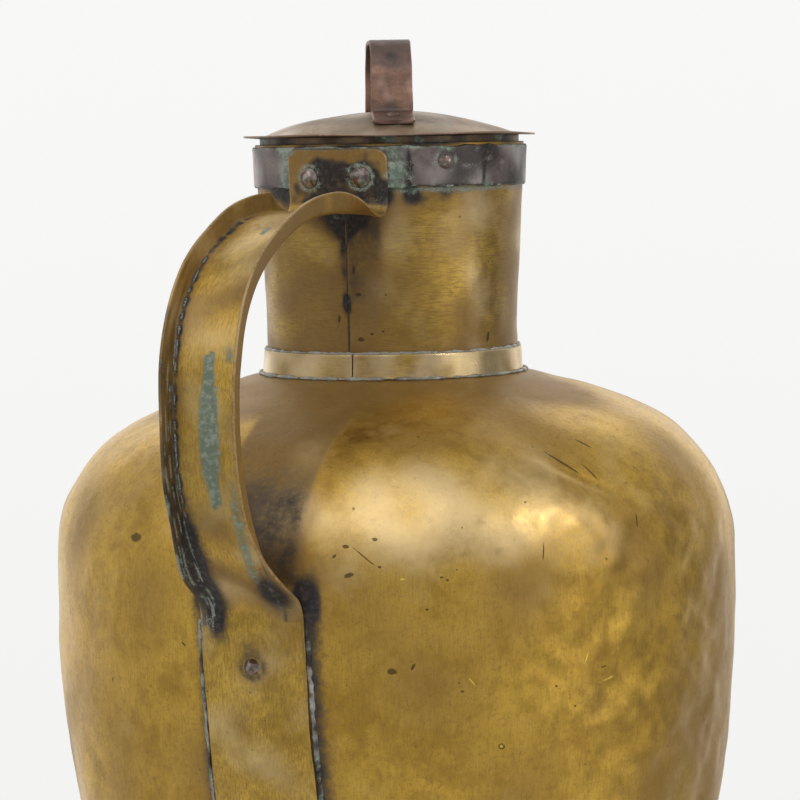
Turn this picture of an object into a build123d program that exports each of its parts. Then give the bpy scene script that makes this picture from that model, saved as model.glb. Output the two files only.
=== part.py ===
from build123d import *
import math
import os

# Sheet-brass water or milk jug: a raised body with a tall conical neck, a copper rim band, a channelled
# strap handle that runs down over the body to the foot, and a copper push-in lid with a strap loop.
# Millimetres. Z is up and is the axis of the jug, the foot stands on Z = 0, and the handle is on the -Y side.

# ---------------------------------------------------------------- driving dimensions
BELLY_RADIUS = 156.6
BELLY_Z = 268.0
LOWER_SIDE_RADIUS = 500.0     # the side below the belly is one long arc
CORNER_Z = 296.2              # the side is upright from the belly to here
CORNER_RADIUS = 67.0          # round shoulder
SHOULDER_SLOPE = 24.5         # degrees from level where the shoulder turns into the top dome
BODY_SHEET = 1.0
BODY_BOTTOM_Z = 14.0

NECK_FOOT_Z = 373.0           # the neck reaches a little way into the body
NECK_BASE_Z = 377.0
NECK_BASE_RADIUS = 57.0       # outside, at NECK_BASE_Z
NECK_FIT = 0.1                # clearance round the neck in the body, filled by the solder
NECK_FLARE = 0.045            # growth of the radius with height
NECK_SHEET = 1.2
RIM_Z = 480.8

COLLAR_HEIGHT = 10.5
COLLAR_SHEET = 1.8
COLLAR_FLARE = 0.8            # extra radius at the bottom of the collar
COLLAR_FIT = 0.1              # between the collar and the shoulder
COLLAR_JOINT_GAP = 0.5
COLLAR_JOINT_AZIMUTH = 5.5
COLLAR_SOLDER_RISE = 1.6

BAND_BOTTOM_Z = 461.4
BAND_TOP_Z = 479.6
BAND_SHEET = 1.4
BAND_LAP_SHEET = 0.9          # free end of the band, hammered thin over its start
BAND_LAP_AZIMUTHS = (31.0, 65.0)
BAND_RIVET_AZIMUTH = 46.0
BAND_RIVET_Z = 472.6

STRAP_SHEET = 1.3
STRAP_BASE_WIDTH = 29.6       # floor of the channel
STRAP_FLANGE = 9.0            # each edge, folded up in the loop and flat on the body
FLANGE_ANGLE = 80.0           # of the folded edges above the floor of the channel
STRAP_GAP = 0.3               # solder film between the strap and the body
STRAP_BOTTOM_Z = 38.0
STRAP_SLANT = 2.4             # degrees by which the strap on the body runs down towards +X
TAB_GAP = 0.1                 # between the tab and the rim band
TAB_TOP_Z = 478.4
TAB_CORNER = 5.0
CORNER_STANDOFF = 0.15
TAB_BEND_RADIUS = 4.0         # the tab bends outwards into the loop
LOOP_TOP_Z = 452.0
LOOP_REACH = 195.5            # distance of the loop's outermost point from the axis
LOOP_TOP_STRAIGHT = 98.0      # the loop leaves the neck level as far as this radius
LOOP_TOP_RADIUS = 130.0
LOOP_OUTER_RADIUS = 67.0
LOOP_SIDE_STRAIGHT = 6.0
LOOP_LOWER_RADIUS = 110.0
LOOP_HEEL_RADIUS = 15.0       # reverse bend where the loop lies down on the body
FLANGE_OPENS_AT = 0.42        # share of the lower arc after which the folded edges lie down

TAB_RIVET_Z = 466.0
TAB_RIVET_AZIMUTH = 11.2
BODY_RIVET_HEIGHTS = (262.5, 66.0)
SOLDER_WIDTH = 2.2
SOLDER_HEIGHT = 1.5
SOLDER_FIT = 0.15             # between the solder and the edge of the strap

FOOT_TOP_Z = 36.0
FOOT_RADIUS = 104.5
FOOT_WAIST = (97.4, 20.0)
FOOT_SHEET = 1.2
FOOT_FIT = 0.1                # between its top edge and the body
FOOT_BEAD_RADIUS = 2.2
FOOT_BEAD_Z = 1.9             # the bead is worn flat where it stands

BASE_RADIUS = 88.4
BASE_SHEET = 1.2
BASE_CROWN = 5.0
BASE_RIM = 8.0                # width of its flat edge

LID_BRIM_Z = 484.0            # underside of the brim, a little above the rim of the neck
LID_RADIUS = 66.9
LID_SHEET = 0.9
LID_DOME_RADIUS = 57.5
LID_DOME_HEIGHT = 11.0
SLEEVE_RADIUS = 59.4
SLEEVE_SHEET = 0.9
SLEEVE_BOTTOM_Z = 469.9       # stops just above the inner heads of the two handle rivets
LID_TURN = 26.0               # degrees about Z between the plane of the jug's handle and that of the lid's
LID_STRAP_WIDTH = 19.0
LID_STRAP_SHEET = 1.6
LID_LOOP_HALF = 29.5
LID_LOOP_TOP_Z = 527.6
LID_LOOP_CORNER = 17.0
LID_LOOP_LEAN = 1.0           # the legs lean together by this much
LID_FOOT_BEND = 2.5
LID_FOOT_OUT = 47.0
LID_FOOT_RISE = 0.35          # the straight foot touches the dome at its middle only
LID_RIVET_OUT = 36.5

# ---------------------------------------------------------------- derived sizes
CORNER_CENTRE_R = BELLY_RADIUS - CORNER_RADIUS
DOME_ANGLE = 90.0 - SHOULDER_SLOPE
DOME_SPHERE = CORNER_CENTRE_R / math.cos(math.radians(DOME_ANGLE)) + CORNER_RADIUS
DOME_CENTRE_Z = CORNER_Z - (DOME_SPHERE - CORNER_RADIUS) * math.sin(math.radians(DOME_ANGLE))
NECK_LEAN = math.degrees(math.atan(NECK_FLARE))
STRAP_WIDTH = STRAP_BASE_WIDTH + 2 * STRAP_FLANGE
STRAP_MID = STRAP_SHEET / 2


def body_radius(z):
    """Radius of the side of the body below the belly."""
    return BELLY_RADIUS - LOWER_SIDE_RADIUS + math.sqrt(LOWER_SIDE_RADIUS**2 - (BELLY_Z - z) ** 2)


def neck_radius(z):
    """Outside radius of the conical neck."""
    return NECK_BASE_RADIUS + NECK_FLARE * (z - NECK_BASE_Z)


def shoulder_z(radius):
    """Height of the domed top of the body at a distance from the axis."""
    return DOME_CENTRE_Z + math.sqrt(DOME_SPHERE**2 - radius**2)


COLLAR_BOTTOM_Z = shoulder_z(NECK_BASE_RADIUS) + COLLAR_FIT
COLLAR_TOP_Z = COLLAR_BOTTOM_Z + COLLAR_HEIGHT


def collar_radius(z):
    """Outside radius of the collar, a little wider at its bottom."""
    flare = COLLAR_FLARE * (COLLAR_TOP_Z - z) / COLLAR_HEIGHT
    return neck_radius(COLLAR_TOP_Z) + COLLAR_SHEET + flare


# ---------------------------------------------------------------- drawing helpers
def at(r, z):
    """A point of a turned profile, drawn in the XZ plane."""
    return Vector(r, 0, z)


def arc(centre, radius, start, end):
    """Arc of a turned profile, by its centre and two angles in degrees above the +X direction."""
    points = []
    for angle in (start, (start + end) / 2, end):
        a = math.radians(angle)
        points.append(at(centre[0] + radius * math.cos(a), centre[1] + radius * math.sin(a)))
    return ThreePointArc(*points)


def turned(edges, degrees=360.0, middle_azimuth=0.0):
    """Revolves a closed profile about Z; a sector is centred on an azimuth counted from -Y towards +X."""
    solid = revolve(Face(Wire(edges)), Axis.Z, degrees)
    return Rot(0, 0, middle_azimuth - 90 - degrees / 2) * solid if degrees < 360 else solid


def ring(points, degrees=360.0, middle_azimuth=0.0):
    """Turned solid with a straight-sided profile."""
    return turned(Polyline(*[at(*p) for p in points], close=True).edges(), degrees, middle_azimuth)


def conical_ring(low_z, high_z, inside, outside, degrees=360.0, middle_azimuth=0.0):
    """Ring that follows the neck between two heights, from one offset of its outer face to another."""
    low, high = neck_radius(low_z), neck_radius(high_z)
    bottom_edge = [(low + inside, low_z), (low + outside, low_z)]
    top_edge = [(high + outside, high_z), (high + inside, high_z)]
    return ring(bottom_edge + top_edge, degrees, middle_azimuth)


def side_edges(offset, bottom_z, hole=None):
    """Profile of the body, moved outwards by an offset, up to the top of its upright side or to its hole."""
    lower_centre = (BELLY_RADIUS - LOWER_SIDE_RADIUS, BELLY_Z)
    lower_reach = LOWER_SIDE_RADIUS + offset
    start = -math.degrees(math.asin((BELLY_Z - bottom_z) / lower_reach))
    edges = [
        arc(lower_centre, lower_reach, start, 0),
        Line(at(BELLY_RADIUS + offset, BELLY_Z), at(BELLY_RADIUS + offset, CORNER_Z)),
    ]
    if hole is not None:
        top = math.degrees(math.acos(hole / (DOME_SPHERE + offset)))
        edges += [
            arc((CORNER_CENTRE_R, CORNER_Z), CORNER_RADIUS + offset, 0, DOME_ANGLE),
            arc((0, DOME_CENTRE_Z), DOME_SPHERE + offset, DOME_ANGLE, top),
        ]
    return edges


def skin(outer, inner):
    """Closed profile between two open chains of edges that run the same way."""
    return [*outer, Line(outer[-1] @ 1, inner[-1] @ 1), *inner, Line(outer[0] @ 0, inner[0] @ 0)]


def radial_plane(azimuth, radius, z, drop=0.0):
    """Plane on a point around the jug whose normal points outwards, tipped downwards by drop degrees."""
    a, d = math.radians(azimuth), math.radians(drop)
    out = Vector(math.sin(a), -math.cos(a), 0)
    normal = out * math.cos(d) - Vector(0, 0, math.sin(d))
    return Plane(Vector(out.X * radius, out.Y * radius, z), z_dir=normal)


def rivet(plane, head_radius, head_height, shank_radius, grip, tail_radius=0.0, tail_height=1.0):
    """Domed rivet: head on the plane, shank through grip, and a hammered tail if tail_radius is given."""
    sphere = (head_radius**2 + head_height**2) / (2 * head_height)
    head = Sphere(sphere).moved(Location((0, 0, head_height - sphere)))
    head &= Cylinder(head_radius, head_height, align=(Align.CENTER, Align.CENTER, Align.MIN))
    body = head + Pos(0, 0, -grip / 2) * Cylinder(shank_radius, grip)
    if tail_radius:
        body += Pos(0, 0, -grip - tail_height / 2) * Cylinder(tail_radius, tail_height)
    return plane * body


def rivets(planes, *sizes):
    """One compound of equal rivets."""
    return Compound([rivet(plane, *sizes).solid() for plane in planes])


def bores(planes, radius, depth):
    """Tools that cut the rivets' holes to a depth below their planes."""
    above = 1.0
    drill = Pos(0, 0, (above - depth) / 2) * Cylinder(radius, depth + above)
    return [plane * drill for plane in planes]


# ---------------------------------------------------------------- middle line of the handle strap
def loop_arcs():
    """Middle line of the strap, as a chain of arcs in the plane of the handle.

    Each arc is the distance of its centre from the axis, the height of its centre, its radius, and its first
    and last angle.
    """
    across = LOOP_REACH - STRAP_MID
    level = LOOP_TOP_Z - STRAP_MID
    tab_r = neck_radius(level + TAB_BEND_RADIUS) + BAND_SHEET + TAB_GAP + STRAP_MID
    bend = (tab_r + TAB_BEND_RADIUS, level + TAB_BEND_RADIUS, TAB_BEND_RADIUS, 180, 270)

    spare = LOOP_TOP_RADIUS - LOOP_OUTER_RADIUS
    turn = math.degrees(math.asin((across - LOOP_TOP_STRAIGHT - LOOP_OUTER_RADIUS) / spare))
    top = (LOOP_TOP_STRAIGHT, level - LOOP_TOP_RADIUS, LOOP_TOP_RADIUS, 90, 90 - turn)
    outer_z = level - LOOP_TOP_RADIUS + spare * math.cos(math.radians(turn))
    outer = (across - LOOP_OUTER_RADIUS, outer_z, LOOP_OUTER_RADIUS, 90 - turn, 0)

    lower_z = outer_z - LOOP_SIDE_STRAIGHT
    on_body = BELLY_RADIUS + STRAP_GAP + STRAP_MID
    both = LOOP_LOWER_RADIUS + LOOP_HEEL_RADIUS
    lean = math.acos(1 - (across - on_body) / both)
    lower = (across - LOOP_LOWER_RADIUS, lower_z, LOOP_LOWER_RADIUS, 0, -math.degrees(lean))
    heel_z = lower_z - both * math.sin(lean)
    heel = (on_body + LOOP_HEEL_RADIUS, heel_z, LOOP_HEEL_RADIUS, 180 - math.degrees(lean), 180)
    last = -math.degrees(math.asin((BELLY_Z - STRAP_BOTTOM_Z) / LOWER_SIDE_RADIUS))
    side = (on_body - LOWER_SIDE_RADIUS, BELLY_Z, LOWER_SIDE_RADIUS, 0, last)
    return bend, top, outer, lower, heel, side


BEND_ARC, TOP_ARC, OUTER_ARC, LOWER_ARC, HEEL_ARC, SIDE_ARC = loop_arcs()
TAB_R, TAB_BASE_Z = BEND_ARC[0] - TAB_BEND_RADIUS, BEND_ARC[1]
HEEL_Z = HEEL_ARC[1]


def strap_aside(z):
    """How far the strap on the body has run out of the plane of the handle."""
    return (HEEL_Z - z) * math.tan(math.radians(STRAP_SLANT))


# ---------------------------------------------------------------- rivets and their holes
RIVET_SHANK = 2.0
RIVET_HOLE = 2.02
TAIL_SEAT = 0.25              # lets a flat tail clear the curved wall behind it
TAB_GRIP = STRAP_SHEET + TAB_GAP + BAND_SHEET + NECK_SHEET
BAND_GRIP = BAND_LAP_SHEET + BAND_SHEET + NECK_SHEET
BODY_GRIP = STRAP_SHEET + STRAP_GAP + BODY_SHEET

TAB_OUTSIDE = neck_radius(TAB_RIVET_Z) + TAB_GRIP - NECK_SHEET
BAND_OUTSIDE = neck_radius(BAND_RIVET_Z) + BAND_GRIP - NECK_SHEET
tab_rivet_planes = [radial_plane(s * TAB_RIVET_AZIMUTH, TAB_OUTSIDE, TAB_RIVET_Z, NECK_LEAN) for s in (-1, 1)]
band_rivet_planes = [radial_plane(BAND_RIVET_AZIMUTH, BAND_OUTSIDE, BAND_RIVET_Z, NECK_LEAN)]
body_rivet_planes = []
for height in BODY_RIVET_HEIGHTS:
    lean = math.degrees(math.asin((BELLY_Z - height) / LOWER_SIDE_RADIUS))
    strap_outside = body_radius(height) + (STRAP_GAP + STRAP_SHEET) / math.cos(math.radians(lean))
    azimuth = math.degrees(math.asin(strap_aside(height) / strap_outside))
    body_rivet_planes.append(radial_plane(azimuth, strap_outside, height, lean))
tab_bores = bores(tab_rivet_planes, RIVET_HOLE, TAB_GRIP + 2)
band_bores = bores(band_rivet_planes, RIVET_HOLE, BAND_GRIP + 2)
body_bores = bores(body_rivet_planes, RIVET_HOLE, BODY_GRIP + 2)


# ---------------------------------------------------------------- vessel
def body_shell():
    hole = NECK_BASE_RADIUS + NECK_FIT
    profile = skin(side_edges(0, BODY_BOTTOM_Z, hole), side_edges(-BODY_SHEET, BODY_BOTTOM_Z, hole))
    return turned(profile) - body_bores


def base_plate():
    """Bottom disc, crowned upwards inside a flat rim on which the body stands."""
    crown_r = BASE_RADIUS - BASE_RIM
    sphere = (crown_r**2 + BASE_CROWN**2) / (2 * BASE_CROWN)
    start = math.degrees(math.acos(crown_r / sphere))

    def face(z):
        return [
            Line(at(BASE_RADIUS, z), at(crown_r, z)),
            arc((0, z + BASE_CROWN - sphere), sphere, start, 90),
        ]

    return turned(skin(face(BODY_BOTTOM_Z), face(BODY_BOTTOM_Z - BASE_SHEET)))


def foot_ring():
    """Flared skirt, held by its top edge on the body, with a beaded standing edge."""
    def flank(inset):
        top = at(body_radius(FOOT_TOP_Z) + FOOT_SHEET + FOOT_FIT - inset, FOOT_TOP_Z)
        waist = at(FOOT_WAIST[0] - inset, FOOT_WAIST[1])
        return [ThreePointArc(top, waist, at(FOOT_RADIUS - inset, FOOT_BEAD_Z))]

    skirt = turned(skin(flank(0), flank(FOOT_SHEET)))
    bead = Plane.XZ * Pos(FOOT_RADIUS - FOOT_SHEET / 2, FOOT_BEAD_Z) * Circle(FOOT_BEAD_RADIUS)
    floor = Pos(0, 0, -FOOT_BEAD_RADIUS) * Cylinder(2 * FOOT_RADIUS, 2 * FOOT_BEAD_RADIUS)
    return skirt + revolve(bead, Axis.Z) - floor


def neck():
    wall = conical_ring(NECK_FOOT_Z, RIM_Z, -NECK_SHEET, 0)
    rim_edges = wall.edges().filter_by(GeomType.CIRCLE).group_by(Axis.Z)[-1]
    return fillet(rim_edges, NECK_SHEET * 0.4) - tab_bores - band_bores


def neck_collar():
    """Strip ring that covers the joint between neck and shoulder; its ends meet in a butt joint."""
    outside = collar_radius(COLLAR_BOTTOM_Z)
    profile = [
        (neck_radius(COLLAR_BOTTOM_Z), COLLAR_BOTTOM_Z),
        (outside, shoulder_z(outside) + COLLAR_FIT),
        (collar_radius(COLLAR_TOP_Z), COLLAR_TOP_Z),
        (neck_radius(COLLAR_TOP_Z), COLLAR_TOP_Z),
    ]
    gap = math.degrees(COLLAR_JOINT_GAP / outside)
    return ring(profile, 360 - gap, COLLAR_JOINT_AZIMUTH + 180)


def collar_solder():
    """Fillets of solder above and below the collar."""
    top_r = neck_radius(COLLAR_TOP_Z)
    rise_z = COLLAR_TOP_Z + COLLAR_SOLDER_RISE
    upper = ring([
        (top_r, COLLAR_TOP_Z),
        (top_r + COLLAR_SHEET * 0.85, COLLAR_TOP_Z),
        (neck_radius(rise_z), rise_z),
    ])
    outside = collar_radius(COLLAR_BOTTOM_Z)
    spread = outside + SOLDER_WIDTH
    grip_z = COLLAR_BOTTOM_Z + COLLAR_SOLDER_RISE
    lower = ring([
        (collar_radius(grip_z), grip_z),
        (outside, shoulder_z(outside) + COLLAR_FIT),
        (outside, shoulder_z(outside) + 0.02),
        (spread, shoulder_z(spread) + 0.02),
    ])
    return Compound([upper.solid(), lower.solid()])


def rim_band():
    """Copper strip round the top of the neck, its thinned end lapped over its start."""
    lap_from, lap_to = BAND_LAP_AZIMUTHS
    full = conical_ring(BAND_BOTTOM_Z, BAND_TOP_Z, 0, BAND_SHEET)
    lap = conical_ring(
        BAND_BOTTOM_Z, BAND_TOP_Z, BAND_SHEET / 2, BAND_SHEET + BAND_LAP_SHEET,
        lap_to - lap_from, (lap_from + lap_to) / 2,
    )
    return full + lap - tab_bores - band_bores


def rim_band_rivet():
    """Peened flush inside, so that the lid's sleeve can pass."""
    return rivets(band_rivet_planes, 3.5, 2.0, RIVET_SHANK, BAND_GRIP - 0.05)


# ---------------------------------------------------------------- handle strap
HOLLOW_ARCS = (BEND_ARC, HEEL_ARC)      # those that bend away from the jug
FLATTEST = 0.01               # share of a wall's curvature that counts as flat
SIDE_STEPS = 16               # sections along the body, closer together near the heel


def station(arc_spec, share):
    """Distance from the axis, height and direction of the outer face, part of the way along an arc."""
    r, z, radius, start, end = arc_spec
    angle = start + (end - start) * share
    a = math.radians(angle)
    facing = angle - 180 if arc_spec in HOLLOW_ARCS else angle
    return r + radius * math.cos(a), z + radius * math.sin(a), facing


def strap_section(where, fold, crown_radius, aside=0.0):
    """Cross-section of the strap: its floor and its edges, folded outwards by a share of their full angle.

    The crown radius bends the whole section to lie on a round wall. A section may stand aside of the plane
    of the handle.
    """
    r, z, facing = where
    f = math.radians(facing)
    out = Vector(0, -math.cos(f), math.sin(f))
    plane = Plane(Vector(0, -r, z), x_dir=(1, 0, 0), z_dir=Vector(1, 0, 0).cross(out))
    half = STRAP_BASE_WIDTH / 2

    def crowned(x, y):
        off = x + aside
        return Vector(off, y - crown_radius + math.sqrt(crown_radius**2 - off**2))

    def through(first, middle, last):
        """Shallow curve through three points; straight when they are in line."""
        return Bezier(first, middle * 2 - (first + last) / 2, last)

    def points(side, n):
        """Corner, middle of the folded edge and tip of one face of the sheet, n from its mid-line."""
        a = math.radians(fold * FLANGE_ANGLE)
        corner = half - n * math.tan(a / 2)
        tip_x = half + STRAP_FLANGE * math.cos(a) - n * math.sin(a)
        tip_y = STRAP_FLANGE * math.sin(a) + n * math.cos(a)
        middle = ((corner + tip_x) / 2, (n + tip_y) / 2)
        return [crowned(side * x, y) for x, y in ((corner, n), middle, (tip_x, tip_y))]

    edges = []
    tips = {}
    for n in (STRAP_MID, -STRAP_MID):
        left, right = points(-1, n), points(1, n)
        edges.append(through(*left[::-1]))
        edges.append(through(left[0], crowned(0, n), right[0]))
        edges.append(through(*right))
        tips[n] = left[2], right[2]
    for near, far in zip(*tips.values()):
        edges.append(Line(near, far))
    return plane * Face(Wire(edges))


def smooth(share):
    """Eases a share in and out."""
    t = min(max(share, 0.0), 1.0)
    return t * t * (3 - 2 * t)


def tab_corners():
    """Tool that rounds the two upper corners of the tab, meeting its edges at a slight angle."""
    width = STRAP_WIDTH + 2 * CORNER_STANDOFF
    top_z = TAB_TOP_Z + CORNER_STANDOFF
    low_z = top_z - TAB_CORNER
    whole = Rectangle(width + 2, TAB_CORNER + 1, align=(Align.CENTER, Align.MIN))
    corners = Pos(0, low_z) * whole
    corners -= Pos(0, top_z - width / 2) * RectangleRounded(width, width, TAB_CORNER)
    return extrude(Plane.XZ * corners, 2 * TAB_R)


def handle_strap():
    """One sheet, lofted along its middle line from the tab to its lower end.

    In the tab it follows the rim band. Its edges are folded up by the time it has left the neck, and lie
    down again towards the heel, where the sheet takes the curve of the body and runs on down its side.
    """
    sections = []
    for share in (1, 0.7, 0.4, 0.15):
        z = TAB_BASE_Z + (TAB_TOP_Z - TAB_BASE_Z) * share
        r = TAB_R + neck_radius(z) - neck_radius(TAB_BASE_Z)
        sections.append(strap_section((r, z, 0), 0, r))
    for share in (0, 0.33, 0.67, 1):
        sections.append(strap_section(station(BEND_ARC, share), 0, TAB_R / (1 - share / 2)))
    start_r, level, facing = station(BEND_ARC, 1)
    for share in (0.25, 0.5, 0.75, 1):
        r = start_r + (LOOP_TOP_STRAIGHT - start_r) * share
        folded = smooth(share)
        crown_radius = 2 * TAB_R / max(1 - folded, FLATTEST)
        sections.append(strap_section((r, level, facing), folded, crown_radius))
    for arc_spec, shares in ((TOP_ARC, (0.33, 0.67, 1)), (OUTER_ARC, (0.25, 0.5, 0.75, 1))):
        for share in shares:
            sections.append(strap_section(station(arc_spec, share), 1, TAB_R / FLATTEST))
    on_body = BELLY_RADIUS + STRAP_GAP + STRAP_MID
    heel_length = LOOP_HEEL_RADIUS / LOOP_LOWER_RADIUS
    lowest = [(LOWER_ARC, share, share) for share in (0, 0.14, 0.28, 0.42, 0.56, 0.7, 0.84, 1)]
    lowest += [(HEEL_ARC, share, 1 + share * heel_length) for share in (0.33, 0.67, 1)]
    for arc_spec, share, travel in lowest:
        lying = smooth((travel - FLANGE_OPENS_AT) / (1 + heel_length - FLANGE_OPENS_AT))
        crown_radius = on_body / max(lying, FLATTEST)
        sections.append(strap_section(station(arc_spec, share), 1 - lying, crown_radius))
    for step in range(1, SIDE_STEPS + 1):
        r, z, facing = station(SIDE_ARC, (step / SIDE_STEPS) ** 1.5)
        crown_radius = r / math.cos(math.radians(facing))
        sections.append(strap_section((r, z, facing), 0, crown_radius, strap_aside(z)))
    return loft(sections) - tab_corners() - tab_bores - body_bores


def handle_solder():
    """A run of solder along each edge of the strap where it lies on the body."""
    sheet = turned(skin(side_edges(SOLDER_HEIGHT, STRAP_BOTTOM_Z), side_edges(0, STRAP_BOTTOM_Z)), 50.0)
    below_heel = Pos(0, -BELLY_RADIUS, HEEL_Z / 2) * Box(2 * BELLY_RADIUS, 2 * BELLY_RADIUS, HEEL_Z)
    runs = []
    for side in (-1, 1):
        middle = side * ((STRAP_WIDTH + SOLDER_WIDTH) / 2 + SOLDER_FIT)
        slab = Pos(middle, 0) * Box(SOLDER_WIDTH, 4 * BELLY_RADIUS, 4 * HEEL_Z)
        run = sheet & Pos(0, 0, HEEL_Z) * Rot(0, -STRAP_SLANT, 0) * slab & below_heel
        runs.append(run.solid())
    return Compound(runs)


def handle_neck_rivets():
    return rivets(tab_rivet_planes, 4.4, 2.4, RIVET_SHANK, TAB_GRIP + TAIL_SEAT, 3.4)


def handle_body_rivets():
    return rivets(body_rivet_planes, 3.6, 2.8, RIVET_SHANK, BODY_GRIP + TAIL_SEAT, 3.2)


# ---------------------------------------------------------------- lid
def lid_edges(z):
    """Line of one face of the lid from the brim at a height to the crown."""
    return [
        Line(at(LID_RADIUS, z), at(LID_DOME_RADIUS, z)),
        Bezier(
            at(LID_DOME_RADIUS, z),
            at(LID_DOME_RADIUS * 0.80, z + LID_DOME_HEIGHT * 0.42),
            at(LID_DOME_RADIUS * 0.46, z + LID_DOME_HEIGHT),
            at(0, z + LID_DOME_HEIGHT),
        ),
    ]


def dome_z(r):
    """Height of the lid's upper face at a radius, found by halving along its profile."""
    curve = lid_edges(LID_BRIM_Z + LID_SHEET)[1]
    low, high = 0.0, 1.0
    for _ in range(40):
        middle = (low + high) / 2
        if (curve @ middle).X > r:
            low = middle
        else:
            high = middle
    return (curve @ low).Z


LID_FOOT_IN = LID_LOOP_HALF + 2.0
LID_FOOT_SLOPE = (dome_z(LID_FOOT_IN) - dome_z(LID_FOOT_OUT)) / (LID_FOOT_OUT - LID_FOOT_IN)
LID_FOOT_DROP = math.degrees(math.atan(LID_FOOT_SLOPE))
LID_RIVET_SHANK = 1.6
LID_RIVET_HOLE = 1.62
LID_RIVET_GRIP = LID_STRAP_SHEET + LID_FOOT_RISE + LID_SHEET + 0.3


def foot_underside_z(r):
    """Height of the underside of a foot of the lid's handle at a radius."""
    middle = (LID_FOOT_IN + LID_FOOT_OUT) / 2
    return dome_z(middle) + LID_FOOT_RISE + (middle - r) * LID_FOOT_SLOPE


def lid_rivet_plane(azimuth):
    top = foot_underside_z(LID_RIVET_OUT) + LID_STRAP_SHEET / math.cos(math.radians(LID_FOOT_DROP))
    return radial_plane(azimuth, LID_RIVET_OUT, top, LID_FOOT_DROP - 90)


lid_rivet_planes = [lid_rivet_plane(LID_TURN + half_turn) for half_turn in (0, 180)]
lid_bores = bores(lid_rivet_planes, LID_RIVET_HOLE, 5)


def lid_cover():
    return turned(skin(lid_edges(LID_BRIM_Z + LID_SHEET), lid_edges(LID_BRIM_Z))) - lid_bores


def lid_sleeve():
    inside = SLEEVE_RADIUS - SLEEVE_SHEET
    return ring([
        (inside, SLEEVE_BOTTOM_Z),
        (SLEEVE_RADIUS, SLEEVE_BOTTOM_Z),
        (SLEEVE_RADIUS, LID_BRIM_Z),
        (inside, LID_BRIM_Z),
    ])


def lid_handle():
    """Strap bent into a loop with a foot at each end that lies on the dome."""
    lift = LID_STRAP_SHEET / 2 / math.cos(math.radians(LID_FOOT_DROP))
    top = (LID_LOOP_HALF - LID_LOOP_LEAN, LID_LOOP_TOP_Z - LID_STRAP_SHEET / 2)
    half = [(r, foot_underside_z(r) + lift) for r in (LID_FOOT_OUT, LID_LOOP_HALF)] + [top]
    corners = [(-r, z) for r, z in half] + half[::-1]
    bends = [LID_FOOT_BEND, LID_LOOP_CORNER, LID_LOOP_CORNER, LID_FOOT_BEND]
    line = FilletPolyline(*corners, radius=bends)
    strip = extrude(Plane.YZ * trace(line, LID_STRAP_SHEET), LID_STRAP_WIDTH / 2, both=True)
    return Rot(0, 0, LID_TURN) * strip - lid_bores


def lid_handle_rivets():
    return rivets(lid_rivet_planes, 3.2, 1.3, LID_RIVET_SHANK, LID_RIVET_GRIP, 2.6, 0.8)


# ---------------------------------------------------------------- export
NODES = [
    body_shell,
    base_plate,
    foot_ring,
    neck,
    neck_collar,
    collar_solder,
    rim_band,
    rim_band_rivet,
    handle_strap,
    handle_neck_rivets,
    handle_body_rivets,
    handle_solder,
    lid_cover,
    lid_sleeve,
    lid_handle,
    lid_handle_rivets,
]

os.makedirs("parts", exist_ok=True)
for make in NODES:
    export_step(make(), f"parts/{make.__name__}.step")
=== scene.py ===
import math
from functools import partial

import bmesh
import bpy
import numpy as np
from mathutils import Matrix, Vector


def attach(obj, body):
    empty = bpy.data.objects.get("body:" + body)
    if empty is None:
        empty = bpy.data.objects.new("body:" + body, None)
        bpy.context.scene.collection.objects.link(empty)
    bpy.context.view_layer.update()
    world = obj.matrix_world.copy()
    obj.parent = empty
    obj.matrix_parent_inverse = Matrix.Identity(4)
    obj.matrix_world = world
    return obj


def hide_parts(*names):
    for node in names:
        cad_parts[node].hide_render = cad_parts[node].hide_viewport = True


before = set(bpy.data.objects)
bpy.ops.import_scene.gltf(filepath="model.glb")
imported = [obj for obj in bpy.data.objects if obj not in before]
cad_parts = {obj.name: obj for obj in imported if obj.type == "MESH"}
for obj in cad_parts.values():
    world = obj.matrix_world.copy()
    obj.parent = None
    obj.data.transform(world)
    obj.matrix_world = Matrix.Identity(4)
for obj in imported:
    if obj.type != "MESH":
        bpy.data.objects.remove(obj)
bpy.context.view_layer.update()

# A sheet-brass jug with a copper lid. Sizes below are in millimetres, in the frame of the CAD part, and are
# the part's own dimensions. Azimuths are degrees about Z, from the handle's side (-Y) towards +X.

MM = 0.001

# ---- dimensions of the part
BELLY_RADIUS, BELLY_Z = 156.6, 268.0
LOWER_SIDE_RADIUS = 500.0
CORNER_Z, CORNER_RADIUS = 296.2, 67.0
DOME_ANGLE = 65.5
BODY_SHEET = 1.0
BODY_BOTTOM_Z = 14.0
HOLE_RADIUS = 57.1

NECK_FOOT_Z, NECK_BASE_Z, RIM_Z = 373.0, 377.0, 480.8
NECK_BASE_RADIUS, NECK_FLARE, NECK_SHEET = 57.0, 0.045, 1.2
SEAM_AZIMUTH = 3.4

COLLAR_LOW, COLLAR_HIGH = 376.96, 387.46
COLLAR_SHEET, COLLAR_FLARE = 1.8, 0.8
COLLAR_JOINT_AZIMUTH = 5.5

BAND_LOW, BAND_HIGH = 461.4, 479.6
BAND_SHEET, LAP_SHEET = 1.4, 0.9
LAP_AZIMUTHS = (31.0, 65.0)
BAND_RIVET_AZIMUTH, BAND_RIVET_Z = 46.0, 472.6

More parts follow.
